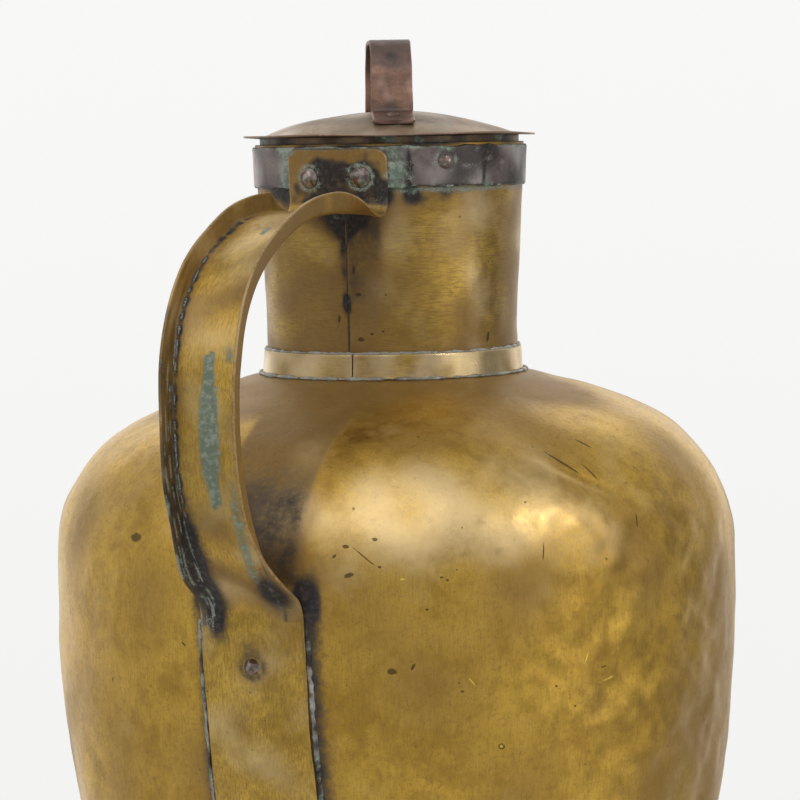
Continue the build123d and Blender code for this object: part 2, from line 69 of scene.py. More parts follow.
STRAP_SHEET, STRAP_BASE_WIDTH, STRAP_FLANGE, FLANGE_ANGLE = 1.3, 29.6, 9.0, 80.0
STRAP_GAP, STRAP_BOTTOM_Z, STRAP_SLANT = 0.3, 38.0, 2.4
TAB_GAP, TAB_TOP_Z, TAB_CORNER, TAB_BEND_RADIUS = 0.1, 478.4, 5.0, 4.0
LOOP_TOP_Z, LOOP_REACH, LOOP_TOP_STRAIGHT = 452.0, 195.5, 98.0
LOOP_TOP_RADIUS, LOOP_OUTER_RADIUS, LOOP_SIDE_STRAIGHT = 130.0, 67.0, 6.0
LOOP_LOWER_RADIUS, LOOP_HEEL_RADIUS, FLANGE_OPENS_AT = 110.0, 15.0, 0.42
TAB_RIVET_Z, TAB_RIVET_AZIMUTH = 466.0, 11.2
BODY_RIVET_HEIGHTS = (262.5, 66.0)
SOLDER_WIDTH, SOLDER_FIT = 2.2, 0.15

FOOT_TOP_Z, FOOT_RADIUS, FOOT_WAIST, FOOT_SHEET = 36.0, 104.5, (97.4, 20.0), 1.2
FOOT_BEAD_RADIUS, FOOT_BEAD_Z = 2.2, 1.9
BASE_RADIUS, BASE_SHEET, BASE_CROWN, BASE_RIM = 88.4, 1.2, 5.0, 8.0

LID_BRIM_Z, LID_RADIUS, LID_SHEET = 484.0, 66.9, 0.9
LID_DOME_RADIUS, LID_DOME_HEIGHT = 57.5, 11.0
SLEEVE_RADIUS, SLEEVE_SHEET, SLEEVE_BOTTOM_Z = 59.4, 0.9, 469.9
LID_TURN = 26.0
LID_STRAP_WIDTH, LID_STRAP_SHEET = 19.0, 1.6
LID_LOOP_HALF, LID_LOOP_TOP_Z, LID_LOOP_CORNER, LID_LOOP_LEAN = 29.5, 527.6, 17.0, 1.0
LID_FOOT_BEND, LID_FOOT_OUT, LID_FOOT_RISE, LID_RIVET_OUT = 2.5, 47.0, 0.35, 36.5

STRAP_MID = STRAP_SHEET / 2
STRAP_WIDTH = STRAP_BASE_WIDTH + 2 * STRAP_FLANGE
STRAP_EDGE, FOLD_LINE = STRAP_WIDTH / 2, STRAP_BASE_WIDTH / 2
STRAP_ON_WALL = BELLY_RADIUS + STRAP_GAP + STRAP_MID
CORNER_CENTRE_R = BELLY_RADIUS - CORNER_RADIUS
DOME_SPHERE = CORNER_CENTRE_R / math.cos(math.radians(DOME_ANGLE)) + CORNER_RADIUS
DOME_CENTRE_Z = CORNER_Z - (DOME_SPHERE - CORNER_RADIUS) * math.sin(math.radians(DOME_ANGLE))

# ---- numbers of the visual model
VIEW_AZIMUTH = 23.1           # of the camera
DARK_WALL_AZIMUTH = 124.0     # of the darker side of the room
WAVE_COUNT = 26               # waves that are added up to a random field
CAP_ANGLES = np.radians([22, 45, 68, 90, 112, 135, 158])    # points of the round edge of a turned sheet
RIM_ANGLES = np.radians([20, 45, 70, 90, 110, 135, 160])    # and of a strap


# ---- numbers on arrays
def ease(value, low, high):
    """0 below low, 1 above high and smooth between them; the other way round when low is above high."""
    t = np.clip((value - low) / (high - low), 0, 1)
    return t * t * (3 - 2 * t)


def bell(value, centre, width):
    """1 at the centre, falling off over the width."""
    return np.exp(-(((value - centre) / width) ** 2))


def most(*values):
    """The largest of several arrays, point by point."""
    return np.maximum.reduce(values)


def waves(points, wavelength, seed):
    """Smooth random field with a spread of about 1 and bumps about one wavelength across."""
    rng = np.random.default_rng(seed)
    heading = rng.normal(size=(WAVE_COUNT, 3))
    heading /= np.linalg.norm(heading, axis=1)[:, None]
    pace = rng.uniform(0.7, 1.4, WAVE_COUNT) * 2 * math.pi / wavelength
    phase = rng.uniform(0, 2 * math.pi, WAVE_COUNT)
    total = np.zeros(points.shape[:-1])
    for direction, rate, shift in zip(heading, pace, phase):
        total += np.cos(points @ direction * rate + shift)
    return total * math.sqrt(2 / WAVE_COUNT)


def body_radius(z):
    return BELLY_RADIUS - LOWER_SIDE_RADIUS + np.sqrt(LOWER_SIDE_RADIUS**2 - (BELLY_Z - z) ** 2)


def neck_radius(z):
    return NECK_BASE_RADIUS + NECK_FLARE * (z - NECK_BASE_Z)


def collar_radius(z):
    down = (COLLAR_HIGH - z) / (COLLAR_HIGH - COLLAR_LOW)
    return neck_radius(COLLAR_HIGH) + COLLAR_SHEET + COLLAR_FLARE * down


def shoulder_z(radius):
    return DOME_CENTRE_Z + np.sqrt(DOME_SPHERE**2 - radius**2)


def axis_distance(points):
    return np.hypot(points[..., 0], points[..., 1])


def turn_from(points, azimuth=0.0):
    """Degrees round from an azimuth, from -180 to 180."""
    return (np.degrees(np.arctan2(points[..., 0], -points[..., 1])) - azimuth + 180) % 360 - 180


def path_lengths(curve):
    """Length of a line from its first point to each of its points."""
    return np.concatenate([[0], np.cumsum(np.linalg.norm(np.diff(curve, axis=0), axis=1))])


def arc_points(centre, radius, start, end, spacing):
    """Points of an arc, not counting its first."""
    count = max(2, round(abs(math.radians(end - start)) * radius / spacing))
    a = np.radians(np.linspace(start, end, count + 1)[1:])
    return np.stack([centre[0] + radius * np.cos(a), centre[1] + radius * np.sin(a)], -1)


def arc_between(centre, radius, first, last, spacing):
    """Points of the shorter arc from first to last about a centre, not counting its first."""
    start, end = (math.degrees(math.atan2(y - centre[1], x - centre[0])) for x, y in (first, last))
    return arc_points(centre, radius, start, start + (end - start + 180) % 360 - 180, spacing)


def arc_through(first, middle, last, spacing):
    """Points of the arc from first to last through middle, not counting its first."""
    (x1, y1), (x2, y2), (x3, y3) = first, middle, last
    d = 2 * (x1 * (y2 - y3) + x2 * (y3 - y1) + x3 * (y1 - y2))
    s1, s2, s3 = (x * x + y * y for x, y in (first, middle, last))
    centre = ((s1 * (y2 - y3) + s2 * (y3 - y1) + s3 * (y1 - y2)) / d,
              (s1 * (x3 - x2) + s2 * (x1 - x3) + s3 * (x2 - x1)) / d)
    return arc_between(centre, math.dist(first, centre), first, last, spacing)


def line_points(start, end, spacing):
    """Points of a line, not counting its first."""
    start, end = np.array(start, float), np.array(end, float)
    count = max(1, round(np.linalg.norm(end - start) / spacing))
    return start + (end - start) * np.linspace(0, 1, count + 1)[1:, None]


def filleted(corners, radii, spacing):
    """Line through corners, rounded at its inner ones."""
    corners = [np.array(c, float) for c in corners]
    chain = [corners[0][None]]
    for before, corner, after, radius in zip(corners, corners[1:], corners[2:], radii):
        back = (before - corner) / np.linalg.norm(before - corner)
        on = (after - corner) / np.linalg.norm(after - corner)
        half = math.acos(float(back @ on)) / 2
        reach = radius / math.tan(half)
        centre = corner + (back + on) / np.linalg.norm(back + on) * radius / math.sin(half)
        chain.append(line_points(chain[-1][-1], corner + back * reach, spacing))
        chain.append(arc_between(centre, radius, corner + back * reach, corner + on * reach, spacing / 2))
    chain.append(line_points(chain[-1][-1], corners[-1], spacing))
    return np.concatenate(chain)


def headings(curve):
    """Unit tangent of a plane curve, and the normal on its right-hand side."""
    tangent = np.gradient(curve, axis=0)
    tangent /= np.linalg.norm(tangent, axis=1)[:, None]
    return tangent, np.stack([tangent[:, 1], -tangent[:, 0]], -1)


# ---- meshes
def around(azimuths, r, z):
    """Points at distances r and heights z, one row for each azimuth."""
    a = np.radians(azimuths)[:, None]
    return np.stack([r * np.sin(a), -r * np.cos(a), z + 0 * a], -1)


def full_turn(steps):
    return np.linspace(-180, 180, steps, endpoint=False)


def grid_part(grid, edge=None, wrap_rows=False, wrap_columns=True, ends=False):
    """Part from a grid of points: its points, its faces and for each point 1 on a sheet's edge, 0 elsewhere.

    Rows or columns that wrap are closed to a ring; ends puts a flat face on the first and last row.
    """
    rows, columns = grid.shape[:2]
    i, j = np.indices((rows - (not wrap_rows), columns - (not wrap_columns)))
    i_next, j_next = (i + 1) % rows, (j + 1) % columns
    corners = [i * columns + j, i_next * columns + j, i_next * columns + j_next, i * columns + j_next]
    faces = np.stack(corners, -1).reshape(-1, 4).tolist()
    if ends:
        row = list(range(columns))
        faces += [row[::-1], [(rows - 1) * columns + k for k in row]]
    return grid.reshape(-1, 3), faces, np.zeros(rows * columns) if edge is None else edge


def sheet_loop(curve, thickness, inner_every, to_axis):
    """Outline of a sheet whose outer face is the curve, with round edges.

    Gives its points, for each of them its place along the curve and the normal there, and 1 where it is on
    an edge. A sheet that ends on the axis is left open there.
    """
    tangent, normal = headings(curve)
    last = len(curve) - 1
    inner = np.arange(last, -1, -1)
    inner = inner[(inner % inner_every == 0) | (inner == last)]

    def cap(k, sign):
        side = np.cos(CAP_ANGLES)[:, None] * normal[k] + np.sin(CAP_ANGLES)[:, None] * tangent[k]
        points = curve[k] - normal[k] * thickness / 2 + sign * side * thickness / 2
        return points, np.full(len(points), k), np.ones(len(points))

    outer_part = (curve, np.arange(last + 1), np.zeros(last + 1))
    inner_part = (curve[inner] - normal[inner] * thickness, inner, np.zeros(len(inner)))
    order = [inner_part, cap(0, -1), outer_part]
    if not to_axis:
        order = [outer_part, cap(last, 1), inner_part, cap(0, -1)]
    points, place, edge = (np.concatenate(group) for group in zip(*order))
    return points, place, normal[place], edge


def turned(curve, thickness, azimuths, push=None, inner_every=1, to_axis=False, full=True):
    """Sheet turned about Z. push(points) says how far the sheet is moved outwards at its outer face."""
    loop, place, normal, edge = sheet_loop(curve, thickness, inner_every, to_axis)
    moved = np.zeros((len(azimuths), len(curve)))
    if push is not None:
        moved = push(around(azimuths, curve[None, :, 0], curve[None, :, 1]))
    moved = moved[:, place]
    grid = around(azimuths, loop[:, 0] + moved * normal[:, 0], loop[:, 1] + moved * normal[:, 1])
    return grid_part(grid, np.tile(edge, len(azimuths)), full, not to_axis, ends=not full)


def ring_curve(radius_of, low, high, thickness, spacing=1.0):
    """Outer face of a ring between two heights, leaving room for its round edges."""
    z = np.linspace(low + thickness / 2, high - thickness / 2, max(3, round((high - low) / spacing)))
    return np.stack([radius_of(z), z], -1)


def strip_round(upper, right, lower, left):
    """Values round the outline of a strip, with one value for each of its two round edges."""
    return np.concatenate([upper, np.full(len(RIM_ANGLES), right), lower, np.full(len(RIM_ANGLES), left)])


def strip_outline(middle, across, normal, half_sheet):
    """Outline of a strip with round edges, from its middle line."""
    out, up = np.sin(RIM_ANGLES)[:, None], np.cos(RIM_ANGLES)[:, None]
    right = middle[-1] + half_sheet * (out * across[-1] + up * normal[-1])
    left = middle[0] - half_sheet * (out * across[0] + up * normal[0])
    return np.concatenate([middle + half_sheet * normal, right, (middle - half_sheet * normal)[::-1], left])


def joined(parts):
    """One part from several."""
    faces, count = [], 0
    for points, part_faces, _ in parts:
        faces += [[k + count for k in face] for face in part_faces]
        count += len(points)
    return np.concatenate([p[0] for p in parts]), faces, np.concatenate([p[2] for p in parts])


def add_piece(name, part, finish, lay=None, weld=0.0, **masks):
    """Mesh object that stands for the CAD node of its name. Masks are one number for each point.

    lay gives each point a place on the unfolded sheet, and weld joins points that are closer than it.
    """
    points, faces, edge = part
    material, slot = finish
    body = "lid" if name.startswith("lid_") else "jug"
    mesh = bpy.data.meshes.new(name)
    mesh.from_pydata((points * MM).tolist(), [], faces)
    for key, values in {"edge": edge, **masks}.items():
        layer = mesh.attributes.new(key, "FLOAT", "POINT")
        layer.data.foreach_set("value", np.ascontiguousarray(values, np.float32))
    if lay is not None:
        layer = mesh.attributes.new("lay", "FLOAT_VECTOR", "POINT")
        layer.data.foreach_set("vector", np.ascontiguousarray(lay * MM, np.float32).ravel())
    if weld:
        tidy = bmesh.new()
        tidy.from_mesh(mesh)
        bmesh.ops.remove_doubles(tidy, verts=tidy.verts, dist=weld * MM)
        bmesh.ops.recalc_face_normals(tidy, faces=tidy.faces)
        tidy.to_mesh(mesh)
        tidy.free()
    mesh.shade_smooth()
    mesh.set_sharp_from_angle(angle=math.radians(50))
    piece = bpy.data.objects.new(name + "_look", mesh)
    bpy.context.scene.collection.objects.link(piece)
    mesh.materials.append(material)
    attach(piece, body)
    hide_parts(name)


# ---- shader building
class Tree:
    """Short ways to add nodes to the node tree of a material or of the world."""

    def __init__(self, owner, place="Object"):
        owner.use_nodes = True
        self.nodes, self.links = owner.node_tree.nodes, owner.node_tree.links
        self.place = self.add("ShaderNodeTexCoord").outputs[place]

    def add(self, kind, inputs=(), **settings):
        node = self.nodes.new(kind)
        for key, value in settings.items():
            setattr(node, key, value)
        self.put(node, inputs)
        return node

    def put(self, node, inputs):
        """Links or sets inputs of a node."""
        for key, value in dict(inputs).items():
            if isinstance(value, bpy.types.NodeSocket):
                self.links.new(value, node.inputs[key])
            else:
                node.inputs[key].default_value = value

    def math(self, operation, *values):
        return self.add("ShaderNodeMath", enumerate(values), operation=operation).outputs[0]

    def times(self, first, *others):
        for value in others:
            first = self.math("MULTIPLY", first, value)
        return first

    def total(self, *terms, start=0.0):
        """Sum of values times their weights, added to start."""
        for value, weight in terms:
            start = self.math("MULTIPLY_ADD", value, weight, start)
        return start

    def most(self, first, *others):
        for value in others:
            first = self.math("MAXIMUM", first, value)
        return first

    def vector(self, operation, *values):
        node = self.add("ShaderNodeVectorMath", enumerate(values), operation=operation)
        return node.outputs["Value" if operation in ("LENGTH", "DOT_PRODUCT") else "Vector"]

    def noise(self, size, detail=2.0, roughness=0.5, source=None, distortion=0.0):
        """Noise whose bumps are about size millimetres across; its middle value is 0.5."""
        inputs = {"Vector": source or self.place, "Scale": 1 / (size * MM), "Detail": detail,
                  "Roughness": roughness, "Distortion": distortion}
        return self.add("ShaderNodeTexNoise", inputs).outputs["Fac"]

    def ramp(self, value, low, high, to_low=0.0, to_high=1.0):
        """Smooth step of a value from low to high."""
        inputs = {"Value": value, "From Min": low, "From Max": high, "To Min": to_low, "To Max": to_high}
        return self.add("ShaderNodeMapRange", inputs, interpolation_type="SMOOTHSTEP").outputs[0]

    def mix(self, share, first, second):
        """Colour between two colours."""
        first, second = ((*c, 1.0) if isinstance(c, tuple) else c for c in (first, second))
        return self.add("ShaderNodeMix", {0: share, 6: first, 7: second}, data_type="RGBA").outputs[2]

    def mask(self, name):
        return self.add("ShaderNodeAttribute", attribute_name=name).outputs["Fac"]

    def ragged(self, mask, grain, spread, softness):
        """A mask whose border is broken up by a noise."""
        off = self.total((self.math("SUBTRACT", grain, 0.5), spread), start=mask)
        return self.ramp(off, 0.5 - softness, 0.5 + softness)

    def strokes(self, radius, marks, thinner, grain):
        """Strongest of some small marks on a turned surface of this radius: azimuth, height, half length,
        half width, slope in degrees."""
        x, y, z = self.add("ShaderNodeSeparateXYZ", {"Vector": self.place}).outputs
        across = self.times(self.math("ARCTAN2", x, self.times(y, -1.0)), radius * MM)
        flat = self.add("ShaderNodeCombineXYZ", {"X": across, "Y": z}).outputs[0]
        shake = self.times(self.math("SUBTRACT", grain, 0.5), 1.1)
        drawn = []
        for azimuth, up, length, width, slope in marks:
            off = self.vector("SUBTRACT", flat, (math.radians(azimuth) * radius * MM, up * MM, 0))
            inputs = {"Vector": off, "Angle": -math.radians(slope)}
            turned_off = self.add("ShaderNodeVectorRotate", inputs, rotation_type="Z_AXIS").outputs[0]
            size = self.vector("DIVIDE", turned_off, (length * MM, width * thinner * MM, 1.0))
            drawn.append(self.ramp(self.math("ADD", self.vector("LENGTH", size), shake), 1.1, 0.7))
        return self.most(*drawn)


# Dark colours of soot, which the soot layer also uses for painted shade.
BLACK, SOOT_AND_SHADE = (0.014, 0.011, 0.011), (0.075, 0.057, 0.048)
GREEN, PALE_GREEN = (0.145, 0.215, 0.165), (0.33, 0.40, 0.33)
PALE = (0.52, 0.50, 0.45)
SPOT_SPACING = 7.0


def ragged_masks(t, cloud, blotch, grain, fine):
    """Tan, bright, soot, green and pale of a piece, broken up by noises. Soot spreads some tan round it."""
    tan_and_soot = t.total((t.mask("soot"), 0.55), start=t.mask("tan"))
    return (
        t.ragged(tan_and_soot, t.total((blotch, 0.6), (cloud, 0.4)), 0.9, 0.38),
        t.ragged(t.mask("bright"), t.total((grain, 0.4), (blotch, 0.6)), 0.6, 0.35),
        t.ragged(t.mask("soot"), t.total((grain, 0.5), (blotch, 0.5)), 1.15, 0.34),
        t.ragged(t.mask("green"), grain, 0.8, 0.26),
        t.ragged(t.mask("pale"), fine, 0.9, 0.24),
    )


def spots_of(t, grain):
    """Small round spots at some of the points of a loose grid, and ragged stains between them."""
    inputs = {"Vector": t.place, "Scale": 1 / (SPOT_SPACING * MM), "Randomness": 1.0}
    speck = t.add("ShaderNodeTexVoronoi", inputs)
    chance = t.add("ShaderNodeSeparateXYZ", {"Vector": speck.outputs["Color"]})
    near = t.ramp(t.total((grain, 0.12), start=speck.outputs["Distance"]), 0.16, 0.11)
    dots = t.times(near, t.ramp(chance.outputs["X"], 0.80, 0.86))
    stain = t.ramp(t.noise(5.5, 6.0, 0.7, distortion=0.6), 0.63, 0.72)
    return dots, stain


# On some pieces the tarnish and soot layers also carry painted shade, and the layer of paler metal carries
# painted highlights.
def metal(name, slot, light, dark, tarnish_and_shade, roughness, brush=(1, 1, 18), brushing=0.25, cloud_size=26.0,
          spots=0.55, bump=0.5, edge=None, round_radius=None, thinner=1.0, marks=(), scrapes=()):
    """Worn metal: two tones of bare metal, and over it tarnish, soot, verdigris, pale deposit and paler
    polish; some of these layers also paint shade and highlights.

    The masks of a piece (tan, soot, green, pale, bright, edge) say where each lies, and noises break them up.
    The brush stretches the fine marks of hand work. Gives the material and its slot.
    """
    material = bpy.data.materials.new(name)
    t = Tree(material)
    cloud = t.noise(cloud_size, 5.0, 0.55)
    blotch = t.noise(9.0, 4.0, 0.6, distortion=0.3)
    grain = t.noise(2.2, 5.0, 0.62)
    fine = t.noise(0.55, 3.0, 0.6)
    brushed = t.noise(3.0, 3.0, 0.6, t.vector("MULTIPLY", t.place, brush))

    tan, bright, soot, green, pale = ragged_masks(t, cloud, blotch, grain, fine)
    speckle = t.ramp(t.total((grain, 0.55), (fine, 0.45)), 0.50, 0.66)
    dots, stain = spots_of(t, grain)
    layers = [
        (t.times(t.ramp(brushed, 0.40, 0.66), brushing), tarnish_and_shade),
        (t.times(tan, 0.80), tarnish_and_shade),
        (t.times(speckle, 0.46), tarnish_and_shade),
        (t.times(bright, 0.80), tuple(0.27 + 0.73 * c for c in light)),
        (t.times(t.most(dots, t.times(stain, 0.6)), spots), tuple(0.25 * c for c in tarnish_and_shade)),
        (soot, t.mix(t.ramp(grain, 0.42, 0.72), BLACK, SOOT_AND_SHADE)),
        (t.times(green, 0.92), t.mix(t.ramp(grain, 0.42, 0.70), GREEN, PALE_GREEN)),
        (t.times(pale, 0.9), t.mix(t.ramp(fine, 0.3, 0.8), PALE_GREEN, PALE)),
    ]
    if edge:
        layers.insert(5, (t.times(t.mask("edge"), t.ramp(grain, 0.35, 0.6)), edge))
    crust = t.most(green, pale, t.times(soot, 0.6))
    reliefs = [(grain, 0.20), (fine, 0.05), (brushed, 0.10 * brushing), (dots, -0.35), (crust, 0.45)]
    for lines, depth, share, colour in (
        (marks, -0.6, 0.75, tuple(0.16 * c for c in tarnish_and_shade)),
        (scrapes, -0.3, 0.8, tuple(min(1.0, 1.5 * c) for c in light)),
    ):
        if lines:
            drawn = t.strokes(round_radius, lines, thinner, grain)
            layers.append((t.times(drawn, share), colour))
            reliefs.append((drawn, depth))

    colour = t.mix(t.ramp(t.total((cloud, 0.5), (blotch, 0.5)), 0.35, 0.65), dark, light)
    for share, over in layers:
        colour = t.mix(share, colour, over)
    # The noises have a middle of 0.5, so half their weights is taken off again.
    rough = t.total((blotch, 0.22), (grain, 0.30), (tan, 0.20), (bright, -0.10), start=roughness - 0.26)
    rough = t.add("ShaderNodeMix", {0: crust, 2: rough, 3: 0.72}, data_type="FLOAT").outputs[0]
    covers = ((t.most(green, pale), 0.9), (soot, 0.65), (tan, 0.30))
    bare = [t.total((cover, -hidden), start=1.0) for cover, hidden in covers]
    bump_node = t.add("ShaderNodeBump", {"Height": t.total(*reliefs), "Strength": bump, "Distance": 0.6 * MM})
    t.put(t.nodes["Principled BSDF"], {
        "Base Color": colour, "Roughness": rough, "Metallic": t.times(*bare),
        "Coat Weight": 0.35, "Coat Roughness": 0.42, "Normal": bump_node.outputs["Normal"],
    })
    return material, slot


# ---- finishes
# Small marks: azimuth, height, half length, half width, slope of the long side.
BODY_MARKS = [
    (46.6, 309, 4, 0.45, 80), (15.2, 313.5, 1.4, 1, 0), (18.2, 309, 6.5, 0.45, -38),
    (15.7, 301.7, 2.2, 1.5, 20), (19.8, 316.3, 1.3, 1, 0), (20.5, 305, 1, 0.8, 0),
    (13.4, 309.5, 1.1, 0.8, 40), (39.2, 227.5, 1.7, 1.7, 0), (-23.6, 313.2, 3.6, 2.6, 0),
    (22.2, 261.3, 2.2, 1.8, 0), (55.5, 343.5, 9, 0.8, -34), (60.5, 339, 5, 0.6, -55),
    (63, 350, 4, 0.7, -30), (30, 300.2, 1, 0.7, 0), (30.9, 299, 0.8, 0.8, 0),
    (27.7, 287, 0.9, 0.7, 0), (25.4, 263, 1.8, 0.8, 60), (33, 252, 0.8, 0.7, 0),
    (48.5, 251.5, 0.7, 0.7, 0), (52, 242, 0.7, 0.7, 0), (57.5, 257.5, 1.6, 0.4, 10),
    (-30, 250, 1.4, 0.5, 60), (-12.5, 270, 1.6, 0.7, -40), (66, 318, 3, 0.6, 80),
    (9, 222, 24, 0.45, 86), (110, 300, 6, 0.6, 30), (150, 260, 9, 0.5, -50),
    (-80, 300, 5, 0.6, 45), (-120, 230, 8, 0.5, -20), (-150, 320, 4, 0.8, 0),
    (95, 150, 7, 0.5, 70), (30, 120, 6, 0.5, -60),
]
BODY_SCRAPES = [
    (34.5, 256, 2.6, 0.35, -50), (54, 262, 2.6, 0.4, 65), (58.5, 252, 3.4, 0.5, 12),
    (24, 300, 1, 0.5, 0), (-3, 235, 4, 0.25, -60), (39.2, 227.7, 0.8, 0.8, 0),
    (130, 280, 6, 0.3, 30), (-60, 210, 5, 0.3, 70),
]
NECK_MARKS = [
    (71, 393.5, 2.6, 1.1, 80), (6.6, 425, 2.2, 0.8, 85), (8.4, 414, 1.5, 0.9, 0),
    (9, 394, 1.5, 1, 0), (-1, 403, 1.8, 0.7, 80), (14, 396.5, 0.8, 0.6, 0),
    (19, 397.5, 0.7, 0.5, 0), (-120, 420, 2, 0.8, 70), (150, 405, 1.4, 1, 0),
]

# Each finish: light and dark tone of the bare metal, its tarnish, which also paints shade on some pieces, its
# roughness.
BRASS_TARNISH_AND_SHADE, COPPER_TARNISH_AND_SHADE = (0.27, 0.158, 0.046), (0.110, 0.080, 0.072)
body_brass = metal(
    "body_brass", "brass_sheet", (0.78, 0.500, 0.078), (0.50, 0.295, 0.042), BRASS_TARNISH_AND_SHADE, 0.43,
    brush=(3.5, 3.5, 0.5), brushing=0.22, cloud_size=34.0, round_radius=BELLY_RADIUS, thinner=0.8,
    marks=BODY_MARKS, scrapes=BODY_SCRAPES)
neck_brass = metal(
    "neck_brass", "brass_sheet", (0.62, 0.405, 0.080), (0.34, 0.210, 0.040), BRASS_TARNISH_AND_SHADE, 0.41,
    brush=(0.6, 0.6, 5), brushing=0.62, round_radius=NECK_BASE_RADIUS, marks=NECK_MARKS)
strap_brass = metal(
    "strap_brass", "brass_sheet", (0.80, 0.530, 0.098), (0.50, 0.310, 0.048), BRASS_TARNISH_AND_SHADE, 0.46,
    brush=(5, 0.6, 1), brushing=0.50, edge=(0.52, 0.36, 0.18))
band_copper = metal(
    "band_copper", "copper_sheet", (0.400, 0.330, 0.300), (0.180, 0.145, 0.140), (0.085, 0.068, 0.072), 0.44,
    brush=(1, 1, 8), spots=0.6, bump=0.7, edge=(0.20, 0.14, 0.11))
lid_copper = metal(
    "lid_copper", "copper_sheet", (0.46, 0.320, 0.185), (0.33, 0.225, 0.125), (0.20, 0.138, 0.085), 0.46,
    brush=(1, 12, 12), brushing=0.35, spots=0.35, edge=(0.34, 0.21, 0.15))
handle_copper = metal(
    "handle_copper", "copper_sheet", (0.58, 0.330, 0.220), (0.30, 0.180, 0.135), COPPER_TARNISH_AND_SHADE, 0.38,
    brush=(1, 1, 10), spots=0.45, edge=(0.30, 0.17, 0.12))
rivet_copper = metal(
    "rivet_copper", "copper_rivet", (0.36, 0.230, 0.190), (0.16, 0.105, 0.092), COPPER_TARNISH_AND_SHADE, 0.34,
    spots=0.4, bump=0.8)
solder_grey = metal(
    "solder_grey", "tin_solder", (0.62, 0.60, 0.56), (0.34, 0.33, 0.30), (0.12, 0.11, 0.10), 0.46,
    cloud_size=9.0, spots=0.8, bump=1.0)


# ---- handle strap, its middle line
def loop_arcs():
    """Middle line of the strap as arcs: distance and height of the centre, radius, first and last angle."""
    across, level = LOOP_REACH - STRAP_MID, LOOP_TOP_Z - STRAP_MID
    tab_r = neck_radius(level + TAB_BEND_RADIUS) + BAND_SHEET + TAB_GAP + STRAP_MID
    bend = (tab_r + TAB_BEND_RADIUS, level + TAB_BEND_RADIUS, TAB_BEND_RADIUS, 180, 270)
    spare = LOOP_TOP_RADIUS - LOOP_OUTER_RADIUS
    turn = math.degrees(math.asin((across - LOOP_TOP_STRAIGHT - LOOP_OUTER_RADIUS) / spare))
    top = (LOOP_TOP_STRAIGHT, level - LOOP_TOP_RADIUS, LOOP_TOP_RADIUS, 90, 90 - turn)
    outer_z = level - LOOP_TOP_RADIUS + spare * math.cos(math.radians(turn))
    outer = (across - LOOP_OUTER_RADIUS, outer_z, LOOP_OUTER_RADIUS, 90 - turn, 0)
    lower_z = outer_z - LOOP_SIDE_STRAIGHT
    both = LOOP_LOWER_RADIUS + LOOP_HEEL_RADIUS
    lean = math.acos(1 - (across - STRAP_ON_WALL) / both)
    lower = (across - LOOP_LOWER_RADIUS, lower_z, LOOP_LOWER_RADIUS, 0, -math.degrees(lean))
    heel_z = lower_z - both * math.sin(lean)
    heel = (STRAP_ON_WALL + LOOP_HEEL_RADIUS, heel_z, LOOP_HEEL_RADIUS, 180 - math.degrees(lean), 180)
    last = -math.degrees(math.asin((BELLY_Z - STRAP_BOTTOM_Z) / LOWER_SIDE_RADIUS))
    side = (STRAP_ON_WALL - LOWER_SIDE_RADIUS, BELLY_Z, LOWER_SIDE_RADIUS, 0, last)
    return bend, top, outer, lower, heel, side


BEND_ARC, TOP_ARC, OUTER_ARC, LOWER_ARC, HEEL_ARC, SIDE_ARC = loop_arcs()
TAB_R, TAB_BASE_Z = BEND_ARC[0] - TAB_BEND_RADIUS, BEND_ARC[1]
HEEL_Z = HEEL_ARC[1]
HEEL_SHARE = LOOP_HEEL_RADIUS / LOOP_LOWER_RADIUS
FLATTEST = 0.01               # least crown across the strap, as a share of the tab's
# Places across the strap from its middle to its edge, closest at the fold.
STRAP_COLUMNS = np.array(
    [0, 2.5, 5, 7.5, 10, 12, 13, 13.6, 14.2, 14.8, 15.4, 16, 16.6, 17.6, 19, 20.5, 22, 23.2]) / 23.2
FOLD_HALF_WIDTH = 1.8
TAB_END, ON_BODY = 24, 200    # way along the strap: where the tab ends, and past which it nears the body


def strap_aside(z):
    """How far the strap has slanted aside from the heel down."""
    return (HEEL_Z - z) * math.tan(math.radians(STRAP_SLANT))


